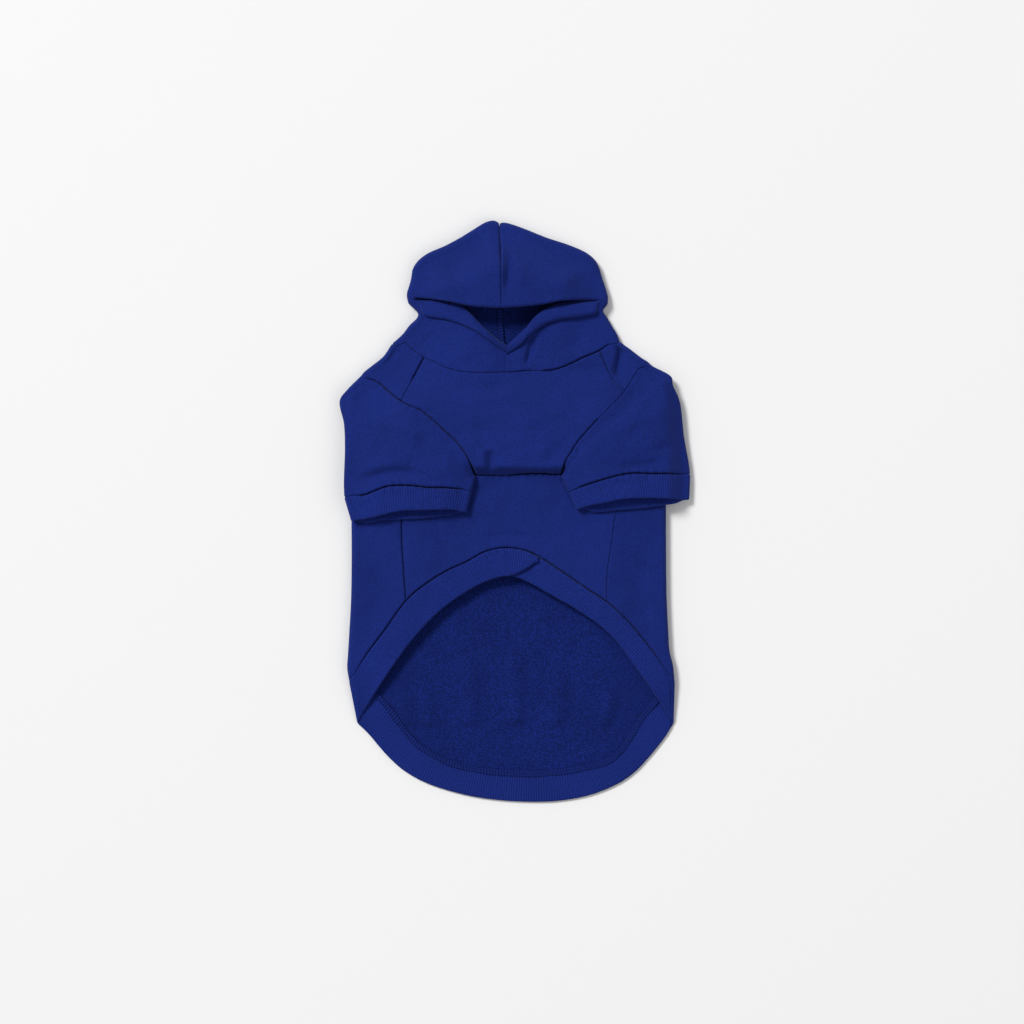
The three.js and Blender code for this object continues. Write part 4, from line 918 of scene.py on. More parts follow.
class Effects:
    """Shader groups that the finishes share."""

    def __init__(self) -> None:
        """Builds each group once."""
        self.knit = self._knit()
        self.loops = self._loops()
        self.ribbing = self._ribbing()
        self.mottle = self._mottle()

    @staticmethod
    def _knit() -> bpy.types.NodeTree:
        """Fine jersey, in centimetres: columns of stitches whose legs lean left and right in turn. Its Shade
        output is painted shade: darker in the dips between the stitch columns, a little lighter on their
        tops.
        """
        nodes, given, put = group("fine_jersey", {"Wale": 0.1, "Course": 0.08}, ("Height", "Shade"))
        place = nodes.new("SeparateXYZ", {0: given.outputs["Place"]})
        across = nodes.math("DIVIDE", place.outputs[0], given.outputs["Wale"])
        along = nodes.math("DIVIDE", place.outputs[1], given.outputs["Course"])
        lean = nodes.math("PINGPONG", across, 0.5)
        leg = nodes.math("SINE", nodes.math("MULTIPLY", nodes.math("ADD", along, lean), math.tau))
        column = nodes.math("ABSOLUTE", nodes.math("SINE", nodes.math("MULTIPLY", across, math.pi)))
        height = nodes.math("MULTIPLY_ADD", leg, 0.25, nodes.math("MULTIPLY", column, 0.75))
        nodes.join(height, put.inputs["Height"])
        # painted shade: the knit's height darkens the colour in its dips and lightens it a little on its tops
        nodes.join(nodes.span(height, -0.2, 1.0, 0.86, 1.08), put.inputs["Shade"])
        return nodes.tree

    @staticmethod
    def _loops() -> bpy.types.NodeTree:
        """Looped inside face: rounded loops in rows, from cells whose rows are squeezed along the cloth. Its
        Shade output is painted shade between the loops and painted highlight on their tops.
        """
        nodes, given, put = group("loop_back", {"Loop": 11.0}, ("Height", "Shade"))
        squeezed = nodes.new("Mapping", {0: given.outputs["Place"], 3: (1.0, 1.5, 1.0)}).outputs[0]
        inputs = {"Vector": squeezed, "Scale": given.outputs["Loop"], "Randomness": 0.75}
        cell = nodes.new("TexVoronoi", inputs)
        height = nodes.span(cell.outputs["Distance"], 0.0, 0.75, 1.0, 0.0)
        nodes.join(height, put.inputs["Height"])
        # painted shade between the loops and painted highlight on their tops, from the loops' height
        nodes.join(nodes.span(height, 0.1, 0.9, 0.55, 1.25), put.inputs["Shade"])
        return nodes.tree

    @staticmethod
    def _ribbing() -> bpy.types.NodeTree:
        """Rib knit: a rounded column a pitch wide, with stitches along it, and painted shade in the valley on
        each side.
        """
        nodes, given, put = group("ribbing", {"Pitch": 0.2, "Course": 0.07}, ("Height", "Shade"))
        place = nodes.new("SeparateXYZ", {0: given.outputs["Place"]})
        along = nodes.math("DIVIDE", place.outputs[0], given.outputs["Course"])
        across = nodes.math("DIVIDE", place.outputs[1], given.outputs["Pitch"])
        column = nodes.math("ABSOLUTE", nodes.math("COSINE", nodes.math("MULTIPLY", across, math.pi)))
        stitch = nodes.math("SINE", nodes.math("MULTIPLY", along, math.tau))
        nodes.join(nodes.math("MULTIPLY_ADD", stitch, 0.2, column), put.inputs["Height"])
        # painted shade: the colour darkens into the valleys between the rib columns
        nodes.join(nodes.span(column, 0.0, 0.75, 0.6, 1.06), put.inputs["Shade"])
        return nodes.tree

    @staticmethod
    def _mottle() -> bpy.types.NodeTree:
        """Uneven dye and lint: broad patches times fine flecks, from noise in space."""
        nodes, given, put = group("mottle", {"Broad": 22.0, "Fine": 760.0}, ("Shade", "Fuzz"))
        broad = nodes.new("TexNoise", {"Vector": given.outputs["Place"], "Scale": given.outputs["Broad"]})
        fine = nodes.new("TexNoise", {"Vector": given.outputs["Place"], "Scale": given.outputs["Fine"]})
        patches = nodes.span(broad.outputs["Fac"], 0.3, 0.7, 0.93, 1.07)
        flecks = nodes.span(fine.outputs["Fac"], 0.3, 0.7, 0.8, 1.2)
        nodes.join(nodes.math("MULTIPLY", patches, flecks), put.inputs["Shade"])
        nodes.join(fine.outputs["Fac"], put.inputs["Fuzz"])
        return nodes.tree


@dataclass(frozen=True)
class Finish:
    """A dyed cloth finish. Colours are linear."""

    name: str
    colour: tuple[float, float, float]
    roughness: float
    sheen: float
    bump: float

    def material(
        self, effects: Effects, pattern: bpy.types.NodeTree | None, amounts: dict[str, float]
    ) -> bpy.types.Material:
        """Makes the material.

        Args:
            effects: shared shader groups.
            pattern: group of the surface pattern and its painted shade, or none for plain thread.
            amounts: its input values.

        Returns:
            The material.
        """
        material = bpy.data.materials.new(self.name)
        material.use_nodes = True
        material.node_tree.nodes.clear()
        nodes = Nodes(material.node_tree)
        place = nodes.new("TexCoord")
        mottle = nodes.new("Group", node_tree=effects.mottle)
        nodes.join(place.outputs["Object"], mottle.inputs["Place"])
        shade, height = mottle.outputs["Shade"], mottle.outputs["Fuzz"]
        if pattern:
            made = nodes.new("Group", node_tree=pattern)
            for key, value in amounts.items():
                made.inputs[key].default_value = value
            along = nodes.new("UVMap", uv_map="cloth")
            nodes.join(along.outputs["UV"], made.inputs["Place"])
            # the pattern's painted shade in its dips multiplies the random dye tone of the mottle
            shade = nodes.math("MULTIPLY", shade, made.outputs["Shade"])
            height = nodes.math("MULTIPLY_ADD", height, 0.5, made.outputs["Height"])
        colour = nodes.new("VectorMath", {0: self.colour, 3: shade}, operation="SCALE").outputs[0]
        bump = nodes.new("Bump", {"Height": height, "Strength": self.bump, "Distance": BUMP_DEPTH})
        shader = nodes.new("BsdfPrincipled", {
            "Base Color": colour, "Normal": bump.outputs["Normal"], "Roughness": self.roughness,
            "Specular IOR Level": 0.1, "Sheen Weight": self.sheen, "Sheen Roughness": 0.45,
            "Sheen Tint": (0.45, 0.6, 1.0, 1.0),
        })
        nodes.join(shader.outputs[0], nodes.new("OutputMaterial").inputs["Surface"])
        return material


FLEECE = Finish("royal_blue_fleece", (0.0068, 0.0182, 0.154), 0.88, 0.08, 0.4)
LINING = Finish("looped_inside", (0.0062, 0.0185, 0.162), 0.95, 0.06, 0.8)
RIB = Finish("rib_knit", (0.0076, 0.0198, 0.166), 0.9, 0.08, 0.3)
THREAD = Finish("sewing_thread", (0.0052, 0.0150, 0.126), 0.8, 0.03, 0.4)


@dataclass
class Wardrobe:
    """The finished materials."""

    effects: Effects = field(default_factory=Effects)

    def __post_init__(self) -> None:
        """Makes each material once."""
        self.fleece = FLEECE.material(self.effects, self.effects.knit, {"Wale": 0.1, "Course": 0.08})
        self.lining = LINING.material(self.effects, self.effects.loops, {"Loop": 6.2})
        self.rib = RIB.material(self.effects, self.effects.ribbing, {"Pitch": 0.2, "Course": 0.08})
        self.thread = THREAD.material(self.effects, None, {})

    @property
    def cloth(self) -> list[bpy.types.Material]:
        """Outside and inside of the fleece."""
        return [self.fleece, self.lining]

    @property
    def ribbing(self) -> list[bpy.types.Material]:
        """Both faces of the rib knit."""
        return [self.rib, self.rib]


@dataclass(frozen=True)
class Stations:
    """Points just inside a folded edge: low on the surface, high on the upper layer, and the way outward."""

    low: Array
    high: Array
    outward: Array
    shares: Array

    def __add__(self, other: Stations) -> Stations:
        """These stations followed by others that start where they end."""
        keys = ("low", "high", "outward")
        parts = (np.vstack([getattr(self, key), getattr(other, key)[1:]]) for key in keys)
        return Stations(*parts, shares=np.concatenate([self.shares, other.shares[1:]]))


class Pattern:
    """Seams and folded edges of the garment, worked out once for all pieces."""

    def __init__(self, lie: Lie) -> None:
        """Works out the lines.

        Args:
            lie: how high the layers lie.
        """
        self.lie = lie
        self.arch, self.arch_edge = Line(seen(HEM_SEAM)), Line(seen(HEM_EDGE))
        self.tail, self.tail_edge = Line(seen(TAIL_SEAM)), Line(seen(TAIL_EDGE))
        self.neck = Line(seen(NECKLINE))
        self.back_neck = Line(seen(BACK_NECKLINE))
        self.underarm = Line(seen(UNDERARM))
        self.outline = {side: _outline(side) for side in Side}
        self.corner = {side: self._corner(side) for side in Side}
        self.stations = {side: self._stations(side) for side in Side}
        self.armhole = {side: Line(seen(LINES[side].armhole)) for side in Side}

    @staticmethod
    def height_of(pixel: float) -> float:
        """Plan y of a row of the picture."""
        return (ORIGIN[1] - pixel) * PIXEL

    @staticmethod
    def across_of(pixel: float) -> float:
        """Plan x of a column of the picture."""
        return (pixel - ORIGIN[0]) * PIXEL

    def hem_inward(self, side: Side) -> Array:
        """Plan direction square to the folded corner of the hem, toward the inside."""
        end = 0 if side is Side.LEFT else -1
        along = seen((HEM_SEAM[end],))[0] - seen((HEM_EDGE[end],))[0]
        along /= np.linalg.norm(along)
        return np.array([along[1], -along[0]]) * -side.value

    def _corner(self, side: Side) -> dict[str, float]:
        """Shares of the hem's four lines at which they leave the rounded corner."""
        end = 0 if side is Side.LEFT else 1
        inward = self.hem_inward(side)
        found = {}
        for name in ("arch", "arch_edge", "tail", "tail_edge"):
            line = getattr(self, name)
            tries = np.linspace(end, abs(end - 0.3), 1200)
            start = line.at(np.array([end]))[0]
            inset = (line.at(tries) - start) @ inward
            radius = self.lie.fold(start[1]) / 2 * (self.lie.corner_press if "edge" in name else 1)
            found[name] = float(tries[np.argmax(inset >= radius)])
        return found

    def _stations(self, side: Side) -> dict[str, Stations]:
        """Stations of the outline from the hem to the crown, in named groups."""
        line, lines = self.outline[side], LINES[side]
        marks = {
            "hem": 0.0,
            "elbow": line.where(1, self.height_of(lines.elbow)),
            "arm": line.where(1, self.height_of(lines.armhole[0][1])),
            "neck": line.where(1, self.height_of(lines.body[-1][1])),
            "crease": line.where(1, self.height_of(CREASE_END[side])),
            "rim": line.where(1, self.height_of(RIM_END)),
            "temple": line.where(1, self.height_of(lines.temple)),
            "crown": 1.0,
        }
        plans = {
            "flank": ("hem", "elbow", 2.4, True, False),
            "sleeve": ("elbow", "arm", 2.6, False, True),
            "shoulder": ("arm", "neck", 2.2, True, True),
            "neck": ("neck", "crease", 1.8, True, False),
            "face": ("crease", "rim", 1.2, False, False),
            "temple": ("rim", "temple", 2.0, False, False),
            "crown": ("temple", "crown", 2.0, False, True),
        }
        groups = {}
        for name, (start, end, cell, first, last) in plans.items():
            long = (marks[end] - marks[start]) * line.length
            shares = mix(marks[start], marks[end], spaced(long, cell, first, last))
            groups[name] = self._edge(side, shares)
        groups["flank"] = self._meet_hem(side, groups["flank"])
        return groups

    def _edge(self, side: Side, shares: Array) -> Stations:
        """Stations at shares of an outline."""
        line = self.outline[side]
        heading = line.heading(shares)
        inward = np.column_stack([heading[:, 1], -heading[:, 0]]) * -side.value
        inward[shares == 1] = (0, -1)
        edge = line.at(shares)
        height = self.lie.fold(edge[:, 1])
        low = grounded(edge + inward * height[:, None] / 2)
        return Stations(low, low + height[:, None] * UP, grounded(-inward), shares)

    def _meet_hem(self, side: Side, flank: Stations) -> Stations:
        """Draws the first stations of a flank to the hem seams, dying out up the side."""
        share = self.corner[side]
        low, high, outward = flank.low.copy(), flank.high.copy(), flank.outward.copy()
        travel = (flank.shares - flank.shares[0]) * self.outline[side].length
        pull = (1 - ease(travel / HEM_REACH))[:, None]
        low[:, :2] += (self.tail.at(share["tail"]) - low[0, :2]) * pull
        high[:, :2] += (self.arch.at(share["arch"]) - high[0, :2]) * pull
        outward[:, :2] = mix(outward[:, :2], -self.hem_inward(side), pull)
        return Stations(low, high, unit(outward), flank.shares)

    def arch_foot(self, side: Side) -> float:
        """Share of the hem arch at which the belly's side seam meets it."""
        return self.arch.where(0, self.across_of(LINES[side].side_seam[-1][0]))

    def side_seam(self, side: Side) -> Line:
        """Belly's side seam from the hem arch up to where it goes under the sleeve."""
        places = seen(LINES[side].side_seam)
        foot = self.arch.at(self.arch_foot(side))
        return Line(np.vstack([foot, places[:-1][::-1]]))

    def hidden_seam(self, side: Side) -> Line:
        """The same seam under the sleeve, up to the underarm."""
        start = seen(LINES[side].side_seam)[0]
        return Line(np.vstack([start, seen(LINES[side].armhole)[-1]]))

    def shoulder_foot(self, side: Side) -> float:
        """Share of the armhole at which the shoulder seam meets it."""
        return self.armhole[side].where(0, self.across_of(LINES[side].shoulder_foot))

    def shoulder_seam(self, side: Side) -> Line:
        """Shoulder seam from the armhole up to the neckline."""
        places = seen(LINES[side].shoulder)
        foot = self.armhole[side].at(self.shoulder_foot(side))
        top = self.neck.at(self.neck_at(LINES[side].shoulder[0][0]))
        return Line(np.vstack([foot, places[1:][::-1], top]))

    def neck_at(self, pixel: float) -> float:
        """Share of the neckline at a column of the picture."""
        return self.neck.where(0, self.across_of(pixel))


@dataclass
class Body:
    """Back, chest and belly of the garment."""

    pattern: Pattern
    cloth: float = 2.0
    cell: float = 2.1
    fold_cells: int = 10

    def back(self, wardrobe: Wardrobe) -> bpy.types.Object:
        """Back panel: flat layer, both folded sides, side strips, hidden strips and shoulders."""
        lie, pattern = self.pattern.lie, self.pattern
        piece = Cloth(self.cloth)
        sides = (pattern.stations[side] for side in Side)
        left, right = (edges["flank"] + edges["sleeve"] + edges["shoulder"] for edges in sides)
        us = spaced(250, self.cell)
        right = self._matched(right, len(left.shares))
        tail = pattern.tail.at(mix(pattern.corner[Side.LEFT]["tail"], pattern.corner[Side.RIGHT]["tail"], us))
        across = drawn(pattern.back_neck.at(us), left.low[-1], right.low[-1])
        neck = grounded(across)
        hem = run(tail, lie.lining)
        hem[0], hem[-1], neck[0], neck[-1] = left.low[0], right.low[0], left.low[-1], right.low[-1]
        vs = shares_of(left.shares)
        piece.add(sheet(hem, neck, left.low, right.low, us, vs, lie.lining), DOWN)
        for side, edge in ((Side.LEFT, left), (Side.RIGHT, right)):
            self._folded_side(piece, side, edge)
        return piece.build("back_panel_cloth", wardrobe.cloth)

    @staticmethod
    def _matched(edge: Stations, count: int) -> Stations:
        """Stations resampled to as many as the other side has."""
        share = np.linspace(0, 1, count)
        old = np.linspace(0, 1, len(edge.shares))
        parts = [np.stack([np.interp(share, old, column) for column in getattr(edge, key).T], -1)
                 for key in ("low", "high", "outward")]
        return Stations(*parts, shares=np.interp(share, old, edge.shares))

    def _folded_side(self, piece: Cloth, side: Side, edge: Stations) -> None:
        """Adds a folded side with the strips of the upper layer that belong to the back."""
        lie, pattern = self.pattern.lie, self.pattern
        away = np.array([side.value, 0.0, 0.0])
        piece.add(fold(edge.low, edge.high, edge.outward, self.fold_cells), away)
        outline = pattern.outline[side]
        lines = LINES[side]
        elbow = int(np.argmin(abs(edge.shares - outline.where(1, pattern.height_of(lines.elbow)))))
        arm = int(np.argmin(abs(edge.shares - outline.where(1, pattern.height_of(lines.armhole[0][1])))))
        us = spaced(56, self.cell, end=True)
        arch = pattern.arch.at(mix(pattern.corner[side]["arch"], pattern.arch_foot(side), us))
        flank, upper, shoulder = edge.high[: elbow + 1], edge.high[elbow : arm + 1], edge.high[arm:]
        vs = shares_of(edge.shares[: elbow + 1])
        seam = pattern.side_seam(side)
        level = np.vstack([flank[-1, :2], seam.points[-1]])
        elbow_row = run(Line(level).at(us), lie.belly_laid)
        elbow_row[0] = flank[-1]
        bottom = run(arch, lie.belly_laid)
        bottom[0] = flank[0]
        seam_run = run(seam.at(vs), lie.belly_laid)
        piece.add(sheet(bottom, elbow_row, flank, seam_run, us, vs, lie.belly_laid), UP)
        vs = shares_of(edge.shares[elbow : arm + 1])
        row = drawn(pattern.armhole[side].at(us), upper[-1])
        top = np.column_stack([row, lie.tucked(row, us, 1.0)])
        top[0] = upper[-1]
        hidden = run(pattern.hidden_seam(side).at(vs), lie.belly_laid)
        hidden[-1] = top[-1]
        piece.add(sheet(elbow_row, top, upper, hidden, us, vs, lie.tucked), UP)
        self._shoulder(piece, side, shoulder, shares_of(edge.shares[arm:]))

    def _shoulder(self, piece: Cloth, side: Side, edge: Array, vs: Array) -> None:
        """Adds the shoulder strip between the folded edge and the shoulder seam."""
        lie, pattern = self.pattern.lie, self.pattern
        us = spaced(38, 1.1, end=True)
        foot = pattern.shoulder_foot(side)
        bottom = run(drawn(pattern.armhole[side].at(us * foot), edge[0]), lie.front)
        end = 0.0 if side is Side.LEFT else 1.0
        along = pattern.neck.at(mix(end, pattern.neck_at(LINES[side].shoulder[0][0]), us))
        top = run(drawn(along, edge[-1]), lie.front)
        bottom[0], top[0] = edge[0], edge[-1]
        seam = run(pattern.shoulder_seam(side).at(vs), lie.front)
        piece.add(sheet(bottom, top, edge, seam, us, vs, lie.front), UP)

    def chest(self, wardrobe: Wardrobe) -> bpy.types.Object:
        """Chest panel between the neckline, the shoulder seams, the armholes and the underarm seam."""
        lie, pattern = self.pattern.lie, self.pattern
        us, vs = spaced(118, 1.25, True, True), spaced(96, 1.25, True, True)
        marks = [pattern.neck_at(LINES[side].shoulder[0][0]) for side in Side]
        sides = []
        for side in Side:
            foot = pattern.shoulder_foot(side)
            arm = pattern.armhole[side].part(1, foot)
            line = Line.chain(arm, pattern.shoulder_seam(side).points)
            sides.append(run(line.at(vs), lie.chest))
        bottom = run(pattern.underarm.at(us), lie.chest)
        top = run(pattern.neck.at(mix(*marks, us)), lie.chest)
        piece = Cloth(self.cloth)
        piece.add(sheet(bottom, top, *sides, us, vs, lie.chest), UP)
        return piece.build("chest_panel_cloth", wardrobe.cloth)

    def belly(self, wardrobe: Wardrobe) -> bpy.types.Object:
        """Belly panel between the underarm seam, the side seams and the hem arch."""
        lie, pattern = self.pattern.lie, self.pattern
        us, vs = spaced(165, 1.4, True, True), spaced(120, 1.4, True, True)
        sides = []
        for side in Side:
            line = Line.chain(pattern.side_seam(side).points, pattern.hidden_seam(side).points)
            sides.append(run(line.at(vs), lie.belly_laid))
        bottom = run(pattern.arch.at(mix(*(pattern.arch_foot(side) for side in Side), us)), lie.belly_laid)
        top = run(pattern.underarm.at(us), lie.belly_laid)
        piece = Cloth(self.cloth)
        piece.add(sheet(bottom, top, *sides, us, vs, lie.belly_laid), UP)
        return piece.build("belly_panel_cloth", wardrobe.cloth)


@dataclass(frozen=True)
class Ribs:
    """Rib knit: ridges of one pitch, rounded on top with narrow valleys."""

    pitch: float = 2.0
    high: float = 0.42
    wide: float = 22.0
    cells: int = 5

    def resample(self, strip: Array, closed: bool = False) -> tuple[Array, Array, Array]:
        """Spaces a strip evenly, a few cells to a rib.

        Args:
            strip: points, stations by rows across the band.
            closed: whether the strip runs round to its start.

        Returns:
            The spaced strip, the height of the ribs at each of its points, and its ways: across the band and
            along it in whole ribs.
        """
        middle = Line(strip[:, strip.shape[1] // 2], fine=0)
        count = max(1, round(middle.length / self.pitch))
        shares = np.linspace(0, 1, count * self.cells + 1)
        columns = [np.interp(shares, middle.shares, column) for column in strip.reshape(len(strip), -1).T]
        spaced_strip = np.stack(columns, 1).reshape(-1, *strip.shape[1:])
        if closed:
            spaced_strip[-1] = spaced_strip[0]
        wave = np.abs(np.cos(np.pi * shares * count)) ** 0.8 - 0.45
        relief = np.repeat(self.high * wave[:, None], strip.shape[1], axis=1)
        way = np.dstack(np.meshgrid(np.linspace(0, self.wide, strip.shape[1]), shares * count * self.pitch))
        return spaced_strip, relief, way


@dataclass
class Hem:
    """Ribbed hem: one strip that starts at the arch, runs round the tail and ends under its own start."""

    pattern: Pattern
    cloth: float = 2.6
    lap_lift: float = 3.1
    lap_slope: float = 14.0
    press_reach: float = 34.0
    ribs: Ribs = field(default_factory=Ribs)

    def build(self, wardrobe: Wardrobe) -> bpy.types.Object:
        """Makes the strip."""
        pattern, lie = self.pattern, self.pattern.lie
        rows = spaced(20, 1.9, True, True)
        left, right = (pattern.corner[side] for side in Side)
        arch, edge = pattern.arch, pattern.arch_edge
        end = arch.where(0, pattern.across_of(LAP_SEAM))
        tip = edge.where(0, pattern.across_of(LAP_TIP))
        cut = Line.chain(edge.part(0, tip), Line(seen(LAP_CUT)).points)
        shorter = edge.length / cut.length
        matching = np.array([left["arch_edge"], 0.098, 0.178, 0.252, 0.336, 0.42, 0.455, tip]) * shorter
        over = self._strip(
            arch, cut, (left["arch"], 0.06, 0.12, 0.2, 0.3, 0.4, 0.44, 0.485, end), (*matching, 1.0), rows
        )
        under = self._strip(
            arch, edge, (0.48, 0.5, 0.55, 0.6, 0.7, 0.8, 0.88, 0.94, right["arch"]),
            (0.475, 0.489, 0.518, 0.556, 0.652, 0.741, 0.815, 0.888, right["arch_edge"]), rows,
        )
        tail = self._strip(
            pattern.tail, pattern.tail_edge,
            (left["tail"], 0.06, 0.12, 0.2, 0.3, 0.4, 0.5, 0.6, 0.7, 0.8, 0.88, 0.95, right["tail"]),
            (left["tail_edge"], 0.028, 0.058, 0.122, 0.249, 0.372, 0.488, 0.607, 0.73, 0.862, 0.935, 0.972,
             right["tail_edge"]), rows,
        )
        over = self._pressed(self._laid(over, rows, 1.0, 0.5), 0, rows)
        under = self._pressed(self._laid(under, rows, 0.0, -0.4), -1, rows)
        tail = np.dstack([tail, np.zeros(tail.shape[:2])])
        corners = []
        for side, high, low in ((Side.LEFT, over[0], tail[0]), (Side.RIGHT, under[-1], tail[-1])):
            high[:, 2] = lie.fold(high[:, 1]) * mix(1.0, lie.corner_press, rows)
            outward = np.tile(np.append(-pattern.hem_inward(side), 0.0), (len(rows), 1))
            corners.append(fold(low, high, outward, 14).transpose(1, 0, 2))
        strip = np.vstack([over[::-1], corners[0][::-1][1:-1], tail, corners[1][1:-1], under[::-1]])
        strip, relief, way = self.ribs.resample(strip)
        piece = Cloth(self.cloth, rounding=1.6)
        piece.add(strip, UP, relief, slice(0, 200), way)
        return piece.build("hem_band_rib", wardrobe.ribbing)

    @staticmethod
    def _strip(
        seam: Line, edge: Line, marks: tuple[float, ...], edge_marks: tuple[float, ...], rows: Array
    ) -> Array:
        """Plan of the band between its seam and its free edge, with matching places joined."""
        way = Line(np.column_stack([marks, edge_marks]))
        shares = np.linspace(marks[0], marks[-1], 260)
        matching = np.interp(shares, way.points[:, 0], way.points[:, 1])
        return mix(seam.at(shares)[:, None], edge.at(matching)[:, None], rows[None, :, None])

    def _pressed(self, band: Array, end: int, rows: Array) -> Array:
        """Lowers the free edge towards its folded corner, where the fold is pressed flatter."""
        far = np.linalg.norm(band[..., :2] - band[end, -1, :2], axis=-1)
        corner = self.pattern.lie.fold(band[end, :, 1]) * mix(1.0, self.pattern.lie.corner_press, rows)
        share = (1 - ease(far / self.press_reach)) * ease(rows * 1.5)[None]
        return np.dstack([band[..., :2], mix(band[..., 2], np.minimum(band[..., 2], corner[None]), share)])

    def _laid(self, plan: Array, rows: Array, edge_lift: float, seam_lift: float) -> Array:
        """Lays one end of the band on the belly, lifted or lowered where the ends lap."""
        if edge_lift:
            near = ease((plan[..., 0] - Pattern.across_of(LAP_FROM)) / self.lap_slope + 1)
        else:
            near = ease((Pattern.across_of(LAP_UNDER) - plan[..., 0]) / self.lap_slope)
        lift = self.lap_lift * near * mix(seam_lift, edge_lift, rows[None])
        return np.dstack([plan, self.pattern.lie.belly_laid(plan) + lift])


@dataclass
class Sleeve:
    """A short sleeve with its ribbed cuff, lying on the body."""

    pattern: Pattern
    side: Side
    cloth: float = 2.0
    rib_cloth: float = 2.6
    fold_cells: int = 8
    ribs: Ribs = field(default_factory=Ribs)

    def __post_init__(self) -> None:
        """Works out the plan lines and the folded edges of the sleeve and its cuff."""
        lines = LINES[self.side]
        self.armhole = self.pattern.armhole[self.side]
        self.seam = Line(seen(lines.cuff_seam))
        self.outer = Line(seen((lines.armhole[0], *lines.sleeve)))
        self.inner = Line(seen((lines.armhole[-1], lines.cuff_seam[-1])))
        self.upper_mouth, self.lower_mouth = Line(seen(lines.upper_mouth)), Line(seen(lines.lower_mouth))
        self.vs = spaced(100, 1.5, True, True)
        self.ws = spaced(20, 1.8, True, True)
        self.outer_fold = self._folded(self.outer, self.upper_mouth.points[0], self.side.value)
        self.inner_fold = self._folded(self.inner, self.upper_mouth.points[-1], -self.side.value)

    def _folded(self, line: Line, mouth: Array, sign: int) -> dict[str, Stations]:
        """Stations along a folded edge of the sleeve and on along the cuff."""
        sleeve = line.at(self.vs)
        cuff = mix(sleeve[-1], mouth, self.ws[:, None])
        plan = np.vstack([sleeve, cuff[1:]])
        smooth = Line(plan, fine=0)
        heading = smooth.heading(smooth.shares)
        outward = np.column_stack([-heading[:, 1], heading[:, 0]]) * sign
        lie = self.pattern.lie
        share = np.concatenate([self.vs, 1 + 0.2 * self.ws[1:]])
        inner = 1.0 if sign != self.side.value else 0.0
        tall = (lie.sleeve_fold * lie.sleeve_opening(inner, share))[:, None]
        low = plan - outward * tall / 2
        low = np.column_stack([low, lie.sleeve_base(low, inner, share)])
        high = low + tall * UP
        outward = grounded(outward)
        split = len(self.vs)
        return {
            "sleeve": Stations(low[:split], high[:split], outward[:split], self.vs),
            "cuff": Stations(low[split - 1 :], high[split - 1 :], outward[split - 1 :], self.ws),
        }

    def _layers(
        self, part: str, start: Line, end: Line, low_end: Line, us: Array, rows: Array,
        reach: tuple[float, float],
    ) -> list[Array]:
        """Upper and lower layer between two plan lines that run from the outer to the inner fold."""
        lie = self.pattern.lie
        outer, inner = self.outer_fold[part], self.inner_fold[part]

        def top(plan: Array, u: Array, v: Array) -> Array:
            """Height of the upper layer, with v measured on from the sleeve."""
            return lie.sleeve_top(plan, u, mix(*reach, v))

        def under(plan: Array, u: Array, v: Array) -> Array:
            """Height of the lower layer, with v measured on from the sleeve."""
            return lie.sleeve_base(plan, u, mix(*reach, v))

        layers = []
        for height, ends, last in ((top, "high", end), (under, "low", low_end)):
            left, right = getattr(outer, ends), getattr(inner, ends)
            first_plan = drawn(start.at(us), left[0], right[0])
            last_plan = drawn(last.at(us), left[-1], right[-1])
            first_row = np.column_stack([first_plan, height(first_plan, us, np.zeros_like(us))])
            last_row = np.column_stack([last_plan, height(last_plan, us, np.ones_like(us))])
            first_row[0], first_row[-1], last_row[0], last_row[-1] = left[0], right[0], left[-1], right[-1]
            layers.append(sheet(first_row, last_row, left, right, us, rows, height))
        return layers

    def sleeve(self, wardrobe: Wardrobe) -> bpy.types.Object:
        """Makes the sleeve tube."""
        us = spaced(130, 1.5)
        upper, lower = self._layers("sleeve", self.armhole, self.seam, self.seam, us, self.vs, (0.0, 1.0))
        away = np.array([self.side.value, 0.0, 0.0])
        outer, inner = self.outer_fold["sleeve"], self.inner_fold["sleeve"]
        piece = Cloth(self.cloth).add(upper, UP).add(lower, DOWN)
        piece.add(fold(outer.low, outer.high, outer.outward, self.fold_cells), away)
        piece.add(fold(inner.low, inner.high, inner.outward, self.fold_cells), -away)
        return piece.build(f"sleeve_{self.side.name.lower()}_cloth", wardrobe.cloth)

    def cuff(self, wardrobe: Wardrobe) -> bpy.types.Object:
        """Makes the ribbed cuff as one strip round the arm, with real ribs."""
        us = spaced(100, 1.5)
        upper, lower = self._layers(
            "cuff", self.seam, self.upper_mouth, self.lower_mouth, us, self.ws, (1.0, 1.2)
        )
        outer, inner = self.outer_fold["cuff"], self.inner_fold["cuff"]
        outer_turn = fold(outer.low, outer.high, outer.outward, self.fold_cells)
        inner_turn = fold(inner.low, inner.high, inner.outward, self.fold_cells)[:, ::-1]
        ring = np.hstack([upper, inner_turn[:, 1:], lower[:, ::-1][:, 1:], outer_turn[:, 1:]])
        strip, relief, way = self.ribs.resample(ring.transpose(1, 0, 2), closed=True)
        piece = Cloth(self.rib_cloth, rounding=1.6)
        piece.add(strip, UP, relief, slice(5, 80), way)
        return piece.build(f"cuff_{self.side.name.lower()}_rib", wardrobe.ribbing)


